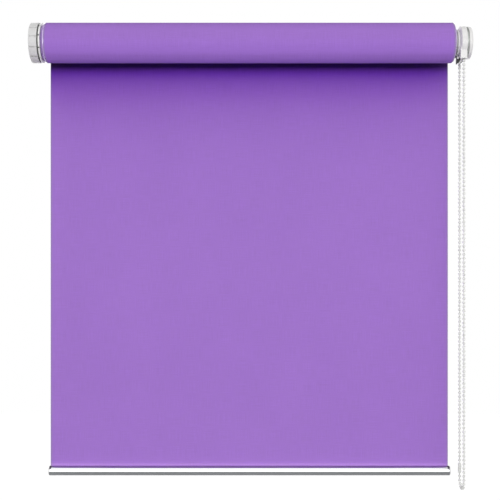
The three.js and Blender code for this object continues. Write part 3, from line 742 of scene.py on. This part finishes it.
def leaving_wrap():
    """The last stretch of cloth on the roll: from the back, over the top, thinning into the outer wrap."""
    gap = sheet_low.y - (AXIS_Y + ROLL_RADIUS)
    rows = []
    for i in range(LEAVING_STEPS + 1):
        share = i / LEAVING_STEPS
        ease = (1 - share) ** 2
        inner = ROLL_RADIUS + LEAVING_GAP + gap * ease
        outer = inner + FABRIC_THICKNESS * ease + LEAVING_SKIN
        rows.append((-HALF_WIDTH, HALF_WIDTH, inner, outer, LEAVING_SWEEP * share))
    return cloth_band(rows)


hanging = make_piece(
    "hanging_sheet", sheet_mesh(), FLAT_FABRIC, "root", ["fabric_sheet"], CLOTH_SHARP,
)
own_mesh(hanging)
make_piece("leaving_wrap", leaving_wrap(), ROUND_FABRIC, "root", (), CLOTH_SHARP)

# Bottom rail: a hollow oval extrusion with a slot for the hem, and an end cap each side
RAIL_WALL = 1.1 * MM
RAIL_SLOT = 1.3 * MM
RAIL_OUTER_STEPS, RAIL_INNER_STEPS = 96, 72
cap_left_low, cap_left_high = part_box("rail_cap_left")
cap_right_low, cap_right_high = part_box("rail_cap_right")
RAIL_DEPTH = rail_high.y - rail_low.y
RAIL_MIDDLE_Y = (rail_low.y + rail_high.y) / 2
RAIL_HEIGHT = cap_right_high.z - cap_right_low.z
RAIL_MIDDLE_Z = (cap_right_high.z + cap_right_low.z) / 2


def oval(inset, start, end, steps):
    """Points of the rail's oval from one angle to another; angle zero is at the back, pi/2 at the top."""
    half_depth, half_height = RAIL_DEPTH / 2 - inset, RAIL_HEIGHT / 2 - inset
    points = []
    for i in range(steps + 1):
        angle = start + (end - start) * i / steps
        y, z = half_depth * math.cos(angle), half_height * math.sin(angle)
        points.append((RAIL_MIDDLE_Y + y, RAIL_MIDDLE_Z + z))
    return points


def rail_outline():
    outer_gap = math.acos(RAIL_SLOT / RAIL_DEPTH)
    inner_gap = math.acos(RAIL_SLOT / (RAIL_DEPTH - 2 * RAIL_WALL))
    outside = oval(0.0, math.pi - outer_gap, FULL_TURN + outer_gap, RAIL_OUTER_STEPS)
    inside = oval(RAIL_WALL, FULL_TURN + inner_gap, math.pi - inner_gap, RAIL_INNER_STEPS)
    return outside + inside


make_piece(
    "rail", swept_outline(rail_outline(), rail_low.x, rail_high.x), RAIL_METAL, "bottom_bar",
    ["bottom_rail"], sharp=40,
)

CAP_SIDES = 72
CAP_GAP = 0.25 * MM
CAP_EDGE = 0.45 * MM
CAP_PLUG_ROOM = 0.3 * MM
CAP_PLUG_START = 0.4 * MM
CAP_PLUG_EDGE = 0.3 * MM


def rail_cap(side, outer, inner):
    """A plate over the rail's end, with a plug that goes into the rail."""
    plate = rail_high.x + CAP_GAP
    last = FULL_TURN * (1 - 1 / CAP_SIDES)
    x0, x1 = sorted((side * plate, outer))
    p0, p1 = sorted((side * (plate + CAP_PLUG_START), inner))
    full = oval(0.0, 0.0, last, CAP_SIDES - 1)
    plug = oval(RAIL_WALL + CAP_PLUG_ROOM, 0.0, last, CAP_SIDES - 1)
    return merged([swept_outline(full, x0, x1, CAP_EDGE), swept_outline(plug, p0, p1, CAP_PLUG_EDGE)])


STRIP_TOP = math.radians(-4)
STRIP_BOTTOM = math.radians(-73)
STRIP_DEPTH = 0.35 * MM
STRIP_RISE = 0.06 * MM
STRIP_INSET = 0.5 * MM
STRIP_EDGE = 0.35 * MM
STRIP_STEPS = 16


def rail_shade_strip(start, end):
    """A thin grey strip let into the lower side of the rail, from end to end; its grey is painted shade and
    reflection on the rail's underside.
    """
    outline = oval(-STRIP_RISE, start, end, STRIP_STEPS) + oval(STRIP_DEPTH, end, start, STRIP_STEPS)
    return swept_outline(outline, cap_left_low.x + STRIP_INSET, cap_right_high.x - STRIP_INSET, STRIP_EDGE)


STOP_TOP = math.radians(106)
STOP_FRONT = math.radians(143)
STOP_RISE = 0.75 * MM
STOP_DEPTH = 0.6 * MM
STOP_START = HALF_WIDTH - 0.7 * MM
STOP_LENGTH = 1.8 * MM
STOP_EDGE = 0.3 * MM
STOP_STEPS = 12


def hem_shade_stop(side):
    """A small dark stop on the rail's top, beside the sheet's edge; its dark purple is painted shade."""
    outline = oval(-STOP_RISE, STOP_TOP, STOP_FRONT, STOP_STEPS)
    outline += oval(STOP_DEPTH, STOP_FRONT, STOP_TOP, STOP_STEPS)
    x0, x1 = sorted((side * STOP_START, side * (STOP_START + STOP_LENGTH)))
    return swept_outline(outline, x0, x1, STOP_EDGE)


for side, end, outer, inner in (
    (-1, "left", cap_left_low.x, cap_left_high.x), (1, "right", cap_right_high.x, cap_right_low.x),
):
    node = "rail_cap_" + end
    cap = rail_cap(side, outer, inner)
    make_piece(node + "_moulded", cap, WHITE, "bottom_bar", [node])
    make_piece("hem_shade_stop_" + end, hem_shade_stop(side), SHADE_PURPLE, "bottom_bar")
for face, *angles in (
    ("front", math.pi - STRIP_TOP, math.pi - STRIP_BOTTOM), ("back", STRIP_BOTTOM, STRIP_TOP),
):
    make_piece("rail_shade_strip_" + face, rail_shade_strip(*angles), SHADE_GREY, "bottom_bar")

# Grooves and notches: places across a groove in half widths, and where its side starts and how wide it is
GROOVE_PLACES = (-1.25, -1, -0.75, -0.45, 0, 0.45, 0.75, 1, 1.25)
GROOVE_END = 1.25
GROOVE_SIDE_START, GROOVE_SIDE_WIDTH = 1.05, 0.62


def flutes(count, first_share, width, radius, land_steps=7):
    """Angles round a ring, close together at its grooves, and how deep a groove is at an angle."""
    half = width / radius / 2
    step = FULL_TURN / count
    centres = [(i + first_share) * step for i in range(count)]
    land = step - 2 * GROOVE_END * half
    angles = []
    for centre in centres:
        angles += [centre + half * share for share in GROOVE_PLACES]
        angles += [centre + GROOVE_END * half + land * k / land_steps for k in range(1, land_steps)]

    def depth(angle):
        away = abs((angle - centres[0] + step / 2) % step - step / 2)
        share = min(1.0, max(0.0, (half * GROOVE_SIDE_START - away) / (half * GROOVE_SIDE_WIDTH)))
        return share * share * (3 - 2 * share)

    return angles, depth


# Covers: a cup at each end, whose mouth faces the bracket, on two pegs
COVER_WALL = 1.5 * MM
COVER_DISH = 0.5 * MM
COVER_EDGE = 0.25 * MM
COVER_MOUTH_EDGE = 0.4 * MM
LEFT_DISH, LEFT_RIM_EDGE = (0.62, 0.66), 1.0 * MM
RIGHT_DISH, RIGHT_RIM_EDGE = (0.6, 0.65), 1.5 * MM
LEFT_SET_BACK = 0.7 * MM
PLATE_GAP = 0.3 * MM
NECK_ROOM = 9.3 * MM
NECK_SIDE_ANGLE = 0.004
GROOVES = 12
FIRST_GROOVE = 0.74
GROOVE_WIDTH = 1.1 * MM
GROOVE_DEPTH = 1.1 * MM
GROOVED_WALL = 1.3 * MM
PEG_RADIUS = 1.5 * MM
PEG_EDGE = 0.3 * MM
PEG_FROM_AXIS = 10.5 * MM
PEG_INSET = 0.8 * MM
PEG_REACH = 1.1 * MM
PEG_SIDES = 24
left_cover_low, left_cover_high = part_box("left_cover")
right_cover_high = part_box("right_cover")[1]


def pegs(name, x0, x1):
    profile = [(x0, 0.0, 0), (x0, PEG_RADIUS), (x1, PEG_RADIUS), (x1, 0.0, 0)]
    for label, z in (("upper", PEG_FROM_AXIS), ("lower", -PEG_FROM_AXIS)):
        peg = turned(rounded(profile, PEG_EDGE, 3, False), PEG_SIDES, None, z)
        make_piece(f"{name}_{label}_peg", peg, WHITE, "root")


def cover_profile(side, outer, inner, radius, dish_shares, rim_edge):
    """A cup's wall and end, with a shallow dish in the end."""
    floor, dish = outer - side * COVER_WALL, outer - side * COVER_DISH
    dish_radius, rim_radius = (share * radius for share in dish_shares)
    return rounded([
        (dish, 0.0, 0), (dish, dish_radius), (outer, rim_radius), (outer, radius, rim_edge),
        (inner, radius, COVER_MOUTH_EDGE), (inner, radius - COVER_WALL),
        (floor, radius - COVER_WALL), (floor, 0.0, 0),
    ], COVER_EDGE, 4, False)


def left_cover():
    """The grooved cover; its mouth gives way to the bracket's neck at the back."""
    radius = left_cover_high.z
    inner = left_cover_high.x - LEFT_SET_BACK
    profile = cover_profile(-1, left_cover_low.x, inner, radius, LEFT_DISH, LEFT_RIM_EDGE)
    angles, groove = flutes(GROOVES, FIRST_GROOVE, GROOVE_WIDTH, radius)
    neck = math.asin(NECK_ROOM / radius)
    sides = [neck - NECK_SIDE_ANGLE, neck + NECK_SIDE_ANGLE]
    angles = sorted([angle % FULL_TURN for angle in angles] + sides + [FULL_TURN - s for s in sides])

    def warp(angle, x, r):
        if min(angle, FULL_TURN - angle) < neck:
            x = min(x, left_plate_face - PLATE_GAP)
        return x, r - (GROOVE_DEPTH * groove(angle) if r > radius - GROOVED_WALL else 0.0)

    return turned(profile, angles, warp)


def right_cover():
    inner = right_plate_face + PLATE_GAP
    profile = cover_profile(1, right_cover_high.x, inner, right_cover_high.z, RIGHT_DISH, RIGHT_RIM_EDGE)
    return turned(profile)


# Plugs: the idle plug's notched flange, a ring beside the fabric at each end, and the bodies in the tube
PLUG_BORE = 3.1 * MM
FLANGE_WIDTH = 1.6 * MM
FLANGE_DISH = 0.2 * MM
FLANGE_LAND_RADIUS = 14 * MM
FLANGE_EDGE = 0.25 * MM
WAIST_RADIUS, WAIST_WIDTH = 15.6 * MM, 0.36 * MM
NOTCHES = 10
FIRST_NOTCH = 0.66
NOTCH_WIDTH = 1.3 * MM
NOTCH_DEPTH = 0.9 * MM
NOTCHED_FROM = 17 * MM
MARK_GAP = 0.02 * MM
MARK_RADII = (17.9 * MM, 19.12 * MM)
# A mark's half width at three places, from the bracket's side to its tip
MARK_PLACES = ((0.0, 1.25 * MM), (0.7 * MM, 0.9 * MM), (1.45 * MM, 0.12 * MM))
MARK_FACES = [
    (0, 1, 3, 2), (2, 3, 5, 4), (6, 8, 9, 7), (8, 10, 11, 9), (0, 6, 7, 1), (4, 5, 11, 10),
    (0, 2, 8, 6), (2, 4, 10, 8), (1, 7, 9, 3), (3, 9, 11, 5),
]


def idle_flange():
    """The notched flange beside the left bracket, down to the waist next to the ring."""
    radius, outer = idle_plug_high.z, idle_plug_low.x
    inner, waist = outer + FLANGE_WIDTH, outer + FLANGE_WIDTH + WAIST_WIDTH
    profile = rounded([
        (outer + FLANGE_DISH, PLUG_BORE), (outer, FLANGE_LAND_RADIUS), (outer, radius), (inner, radius),
        (inner, WAIST_RADIUS), (waist, WAIST_RADIUS), (waist, PLUG_BORE),
    ], FLANGE_EDGE, 4)
    angles, notch = flutes(NOTCHES, FIRST_NOTCH, NOTCH_WIDTH, radius, land_steps=12)

    def warp(angle, x, r):
        return x, r - (NOTCH_DEPTH * notch(angle) if r > NOTCHED_FROM else 0.0)

    return turned(profile, angles, warp)


def notch_shade_marks():
    """Small dark wedges in the flange's notches, wide at the bracket and pointed towards the fabric: painted
    shade in the notches.
    """
    outer = idle_plug_low.x + MARK_GAP
    parts = []
    for i in range(NOTCHES):
        centre = FULL_TURN * (i + FIRST_NOTCH) / NOTCHES
        vertices = [
            around(outer + away, radius, centre + side * half / radius)
            for radius in MARK_RADII for away, half in MARK_PLACES for side in (-1, 1)
        ]
        parts.append((vertices, MARK_FACES))
    return merged(parts)


RING_SEAM = 0.03 * MM
RING_START = HALF_WIDTH + RING_SEAM
RING_RADIUS = TUBE_RADIUS + 1.4 * MM
RING_END_RADIUS = RING_RADIUS - 2.2 * MM
RING_SHOULDER = HALF_WIDTH + 0.9 * MM
RING_FIRST_EDGE = 0.05 * MM
RING_EDGE = 0.25 * MM
IDLE_RING_CORNERS = (
    (RING_SHOULDER, RING_RADIUS, 0.6 * MM),
    (-idle_plug_low.x - FLANGE_WIDTH - WAIST_WIDTH, RING_END_RADIUS),
)
DRIVE_RING_BORE = 10.9 * MM
DRIVE_RING_CORNERS = (
    (RING_SHOULDER, RING_RADIUS - 0.2 * MM, 0.5 * MM),
    (RING_SHOULDER + 0.6 * MM, RING_END_RADIUS),
    (drive_plug_end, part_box("drive_hub")[1].z),
)
PLUG_CUT = HALF_WIDTH + 0.1 * MM


def taper_ring(side, bore, corners):
    """A plug's ring beside the fabric, full at the fabric and drawn in away from it."""
    profile = [(RING_START, bore), (RING_START, RING_RADIUS, RING_FIRST_EDGE), *corners]
    profile.append((corners[-1][0], bore))
    return turned(rounded([(side * x, *rest) for x, *rest in profile], RING_EDGE, 5))


def plug_body(node, side):
    """The part of a CAD plug that stands in the tube."""
    shape = cad_shape(node)
    cut = bmesh.ops.bisect_plane(
        shape, geom=list(shape.verts) + list(shape.edges) + list(shape.faces),
        plane_co=(side * PLUG_CUT, 0, 0), plane_no=(side, 0, 0), clear_outer=True,
    )
    edges = [e for e in cut["geom_cut"] if isinstance(e, bmesh.types.BMEdge)]
    bmesh.ops.triangle_fill(shape, edges=edges, use_beauty=True)
    join_flat_faces(shape)
    make_piece(node + "_body", shape, WHITE, "roller", [node], sharp=30)


HUB_BORE = 8.0 * MM
SPIGOT_RADIUS = 10.6 * MM
NECK_RADIUS = 9.2 * MM
HUB_START = drive_plug_end + 0.3 * MM
NECK_START = HUB_START + 0.5 * MM
NECK_END = HUB_START + 1.95 * MM
HUB_OVERRUN = 0.33 * MM
HUB_EDGE, HUB_RIM_EDGE = 0.2 * MM, 0.1 * MM


def hub():
    """The drive hub: a spigot in the plug, a narrow neck and a barrel beside the clutch."""
    low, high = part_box("drive_hub")
    end = high.x + HUB_OVERRUN
    return turned(rounded([
        (low.x, HUB_BORE), (low.x, SPIGOT_RADIUS), (HUB_START, SPIGOT_RADIUS), (NECK_START, SPIGOT_RADIUS, 0),
        (NECK_START, NECK_RADIUS, 0), (NECK_END, NECK_RADIUS, 0), (NECK_END, high.z),
        (end, high.z, HUB_RIM_EDGE), (end, HUB_BORE),
    ], HUB_EDGE, 4))


pegs("left_cover", left_cover_low.x + PEG_INSET, left_plate_face + PEG_REACH)
make_piece("ribbed_cover", left_cover(), SHADED_RIBBED, "root", ["left_cover"])
make_piece("idle_flange", idle_flange(), WHITE, "roller")
make_piece("notch_shade_marks", notch_shade_marks(), SHADE_BLACK, "roller")
idle_ring = taper_ring(-1, PLUG_BORE, IDLE_RING_CORNERS)
drive_ring = taper_ring(1, DRIVE_RING_BORE, DRIVE_RING_CORNERS)
make_piece("idle_ring", idle_ring, RING, "roller")
make_piece("drive_ring", drive_ring, RING, "roller")
plug_body("idle_plug", -1)
plug_body("drive_plug", 1)
make_piece("hub", hub(), GREY, "roller", ["drive_hub"])
pegs("chain_end_cover", right_plate_face - PEG_REACH, right_cover_high.x - PEG_INSET)
make_piece("chain_end_cover", right_cover(), WHITE, "root", ["right_cover"])

# Clutch housing with a curved lip, and the chain guide behind it
HOUSING_EDGE, GUIDE_EDGE = 0.22 * MM, 0.25 * MM
# The lip's curve, as shares of its sweep and its drop
LIP_SHARES = [(0, 0), (0.1, 0.3), (0.32, 0.6), (0.62, 0.85), (1, 1)]
LIP_SWEEP = 2.7 * MM
LIP_DROP = 4.3 * MM
LIP_HALF_DEPTH = 4 * MM
LIP_INSET = 0.5 * MM
LIP_THICKNESS = 2.8 * MM
LINER_THICKNESS = 0.8 * MM
LINER_OVERHANG = 0.1 * MM
LINER_CORNER, LINER_EDGE = 0.15 * MM, 0.12 * MM
BOSS_RADIUS = 1.15 * MM
BOSS_LENGTH = 1.6 * MM
BOSS_RISE = 0.5 * MM
BOSS_INSET = 0.55 * MM
BOSS_DROP = 2.3 * MM
BOSS_EDGE = 0.35 * MM
BOSS_SIDES = 28


def lip_shade_liner():
    """A grey liner on the outboard side of the housing's lip: painted shade on the lip's side."""
    top = CHAIN_EXIT + LIP_DROP
    root = CHAIN_X - BEAD_DIAMETER / 2 - LIP_INSET + LIP_THICKNESS - LINER_THICKNESS
    curve = [(root - LIP_SWEEP * across, top - LIP_DROP * down) for across, down in LIP_SHARES]
    far = [(x + LINER_THICKNESS + LINER_OVERHANG, z) for x, z in reversed(curve)]
    outline = rounded(curve + far, LINER_CORNER, 2)
    front, back = AXIS_Y - LIP_HALF_DEPTH - LINER_OVERHANG, AXIS_Y + LIP_HALF_DEPTH
    vertices, faces = swept_outline(outline, front, back, LINER_EDGE)
    return [(x, y, z) for y, x, z in vertices], faces


def guide_highlight_boss():
    """A round white boss on the front of the black guide; its white is a painted highlight."""
    low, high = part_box("chain_guide")
    centre_x, centre_z = low.x + BOSS_INSET, high.z - BOSS_DROP
    corners = [(0.0, 0.0, 0), (0.0, BOSS_RADIUS), (BOSS_LENGTH, BOSS_RADIUS), (BOSS_LENGTH, 0.0, 0)]
    profile = rounded(corners, BOSS_EDGE, 4, False)
    vertices = []
    for c, s in circle(BOSS_SIDES):
        vertices += [(centre_x + r * c, low.y - BOSS_RISE + y, centre_z + r * s) for y, r in profile]
    return vertices, grid_faces(BOSS_SIDES, len(profile), True, False)


softened("clutch_housing", "housing", WHITE, HOUSING_EDGE)
# The guide's black is painted shade inside the housing's mouth
softened("chain_guide", "guide", SHADE_BLACK, GUIDE_EDGE)
make_piece("lip_shade_liner", lip_shade_liner(), SHADE_GREY, "root")
make_piece("guide_highlight_boss", guide_highlight_boss(), WHITE, "root")

# Brackets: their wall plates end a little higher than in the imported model
PLATE_EDGE = 0.15 * MM
FOOT_BOTTOM = -9.8 * MM
# The left plate's darker zinc is painted shade in its recess
softened("left_bracket", "left_plate", SHADED_ZINC, PLATE_EDGE, FOOT_BOTTOM)
softened("right_bracket", "right_plate", ZINC, PLATE_EDGE, FOOT_BOTTOM)

# CAD nodes that keep their shape get their finish here
KEPT = [
    (GREY, ["idle_plug_cap", "chain_wheel"]),
    (ZINC, ["idle_pin", "clutch_spindle", "clutch_screw_1", "clutch_screw_2"]),
    (SPRING, ["pin_spring", "wrap_spring_inner", "wrap_spring_outer", "spindle_clip"]),
    (TUBE_METAL, ["roller_tube"]),
    (WHITE, ["hem_rod"]),
]
KEPT_SHARP = 30
for material, nodes in KEPT:
    for solid in [frame["nodes"][node] for node in nodes]:
        solid.material_slots[0].material = material
        smooth(solid.data, KEPT_SHARP)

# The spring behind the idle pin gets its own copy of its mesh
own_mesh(frame["nodes"]["pin_spring"])

# Room: a pale floor under the blind and a white background
FLOOR_HEIGHT, FLOOR_SIZE = -0.62, 3.0
FLOOR_COLOUR = colour(50, 50, 50)
FLOOR_SEEN_COLOUR = colour(160, 160, 160)
FLOOR_GLOW = (0.85, 0.85, 0.85, 1.0)
AMBIENT = 0.006


def seen_directly(tree):
    """One for rays from the camera, for mirror reflections and through glass; zero for diffuse light."""
    path = tree.nodes.new("ShaderNodeLightPath").outputs
    value = path["Is Camera Ray"]
    for other in ("Is Glossy Ray", "Is Transmission Ray"):
        value = add_node(tree, "Math", {0: value, 1: path[other]}, operation="MAXIMUM").outputs[0]
    return value


def make_floor():
    half = FLOOR_SIZE / 2
    mesh = bpy.data.meshes.new("floor")
    corners = [(x, y, FLOOR_HEIGHT) for x, y in ((-half, -half), (half, -half), (half, half), (-half, half))]
    mesh.from_pydata(corners, [], [(0, 1, 2, 3)])
    floor = bpy.data.objects.new("floor", mesh)
    bpy.context.scene.collection.objects.link(floor)
    floor.visible_shadow = False
    finish = Finish("pale_floor", roughness=0.8)
    seen = seen_directly(finish.tree)
    finish.set(Base_Color=finish.blend(seen, FLOOR_COLOUR, FLOOR_SEEN_COLOUR), Emission_Strength=seen)
    set_sockets(finish.material, {"Emission Color": FLOOR_GLOW, "Specular IOR Level": 0.0})
    mesh.materials.append(finish.material)


def make_world():
    """White where it is seen directly, and a faint plain light for all else."""
    world = bpy.data.worlds.new("world")
    world.use_nodes = True
    bpy.context.scene.world = world
    tree = world.node_tree
    tree.nodes.clear()
    sockets = {0: seen_directly(tree)}
    for socket, strength in ((1, AMBIENT), (2, 1.0)):
        background = add_node(tree, "Background", {"Strength": strength, "Color": (1, 1, 1, 1)})
        sockets[socket] = background.outputs[0]
    add_node(tree, "OutputWorld", {"Surface": add_node(tree, "MixShader", sockets).outputs[0]})


def linked_group(name, piece, state):
    """A light group that takes in only one piece, or everything but it."""
    group = bpy.data.collections.new(name)
    group.objects.link(piece)
    group.collection_objects[0].light_linking.link_state = state
    return group


SHEET_ONLY = linked_group("sheet_only", hanging, "INCLUDE")
ALL_BUT_SHEET = linked_group("all_but_sheet", hanging, "EXCLUDE")
ROLL_ONLY = linked_group("roll_only", roll, "INCLUDE")
PLAIN_LIGHT = (1, 1, 1)
ROLLER = (0, 0, 0)


def make_panel(name, centre, size, radiance, tint, receivers, target=ROLLER):
    """A soft light panel that faces a target; radiance is its brightness, where white paper is 1."""
    data = bpy.data.lights.new(name, "AREA")
    data.shape = "RECTANGLE"
    data.size, data.size_y = size
    data.energy = radiance * math.pi * size[0] * size[1]
    data.color = tint
    panel = bpy.data.objects.new(name, data)
    panel.location = centre
    panel.rotation_euler = (Vector(target) - Vector(centre)).to_track_quat("-Z", "Y").to_euler()
    panel.visible_camera = False
    if receivers:
        panel.light_linking.receiver_collection = receivers
    bpy.context.scene.collection.objects.link(panel)
    # Light from below stops at the first thing it meets, so the roll's underside sends none to the sheet
    if centre[2] < 0:
        data.cycles.max_bounces = 0


# Sky in front of the sheet, in bands of elevation: its low part is violet and its high part yellowish,
# and together they are white, so the roll's shadow on the sheet turns violet as it deepens
SKY_DISTANCE = 12
SKY_WIDTH = 42
SKY_SHIFT = 12
SKY_LEVEL = 2.18
SKY_BANDS = [
    (1.5, 17.5, (0.28, 0.126, 0.50)), (17.5, 44.5, (0.40, 0.42, 0.30)), (44.5, 80.0, (0.375, 0.515, 0.255)),
]


def make_sky():
    for i, (low, high, share) in enumerate(SKY_BANDS):
        low, high = math.radians(low), math.radians(high)
        middle = (low + high) / 2
        size = (SKY_WIDTH, 2 * SKY_DISTANCE * math.tan((high - low) / 2))
        centre = (SKY_SHIFT, -SKY_DISTANCE * math.cos(middle), SKY_DISTANCE * math.sin(middle))
        strongest = max(share)
        radiance = SKY_LEVEL * strongest / (math.sin(high) - math.sin(low))
        tint = tuple(channel / strongest for channel in share)
        make_panel(f"sky_band_{i + 1}", centre, size, radiance, tint, SHEET_ONLY, (SKY_SHIFT, 0, 0))


# Panels: name, centre, width and height, radiance, tint, what they light, and a target if not the roller
UNDER_PLACE, UNDER_SIZE = (0, -0.4, -2.5), (3, 0.9)
PANELS = [
    ("top_panel", (0, -1.3, 2.7), (6, 1.6), 0.55, PLAIN_LIGHT, ALL_BUT_SHEET),
    ("front_panel", (0, -2.7, 1.4), (6, 4.4), 0.88, PLAIN_LIGHT, ALL_BUT_SHEET),
    ("key_panel", (0, -3.2, 0.1), (3.0, 1.7), 2.34, PLAIN_LIGHT, ALL_BUT_SHEET),
    ("low_panel", (0, -2.8, -1.5), (6, 2.4), 0.72, (0.94, 0.88, 1.0), ALL_BUT_SHEET),
    ("under_panel", UNDER_PLACE, UNDER_SIZE, 3.6, (0.96, 0.93, 1.0), ALL_BUT_SHEET),
    ("sheet_bounce", UNDER_PLACE, UNDER_SIZE, 2.7, (0.42, 0.22, 1.0), ROLL_ONLY),
    ("side_panel_left", (-2.6, -0.6, 0.5), (2.4, 2.4), 0.8, PLAIN_LIGHT, ALL_BUT_SHEET),
    ("side_panel_right", (2.6, -0.6, 0.5), (2.4, 2.4), 0.8, PLAIN_LIGHT, ALL_BUT_SHEET),
    ("back_panel", (0, 3, 0.3), (6, 4), 1.0, PLAIN_LIGHT, None, (0, 0, -0.1)),
]

make_floor()
make_world()
make_sky()
for panel in PANELS:
    make_panel(*panel)

bpy.context.scene.view_settings.view_transform = "Standard"
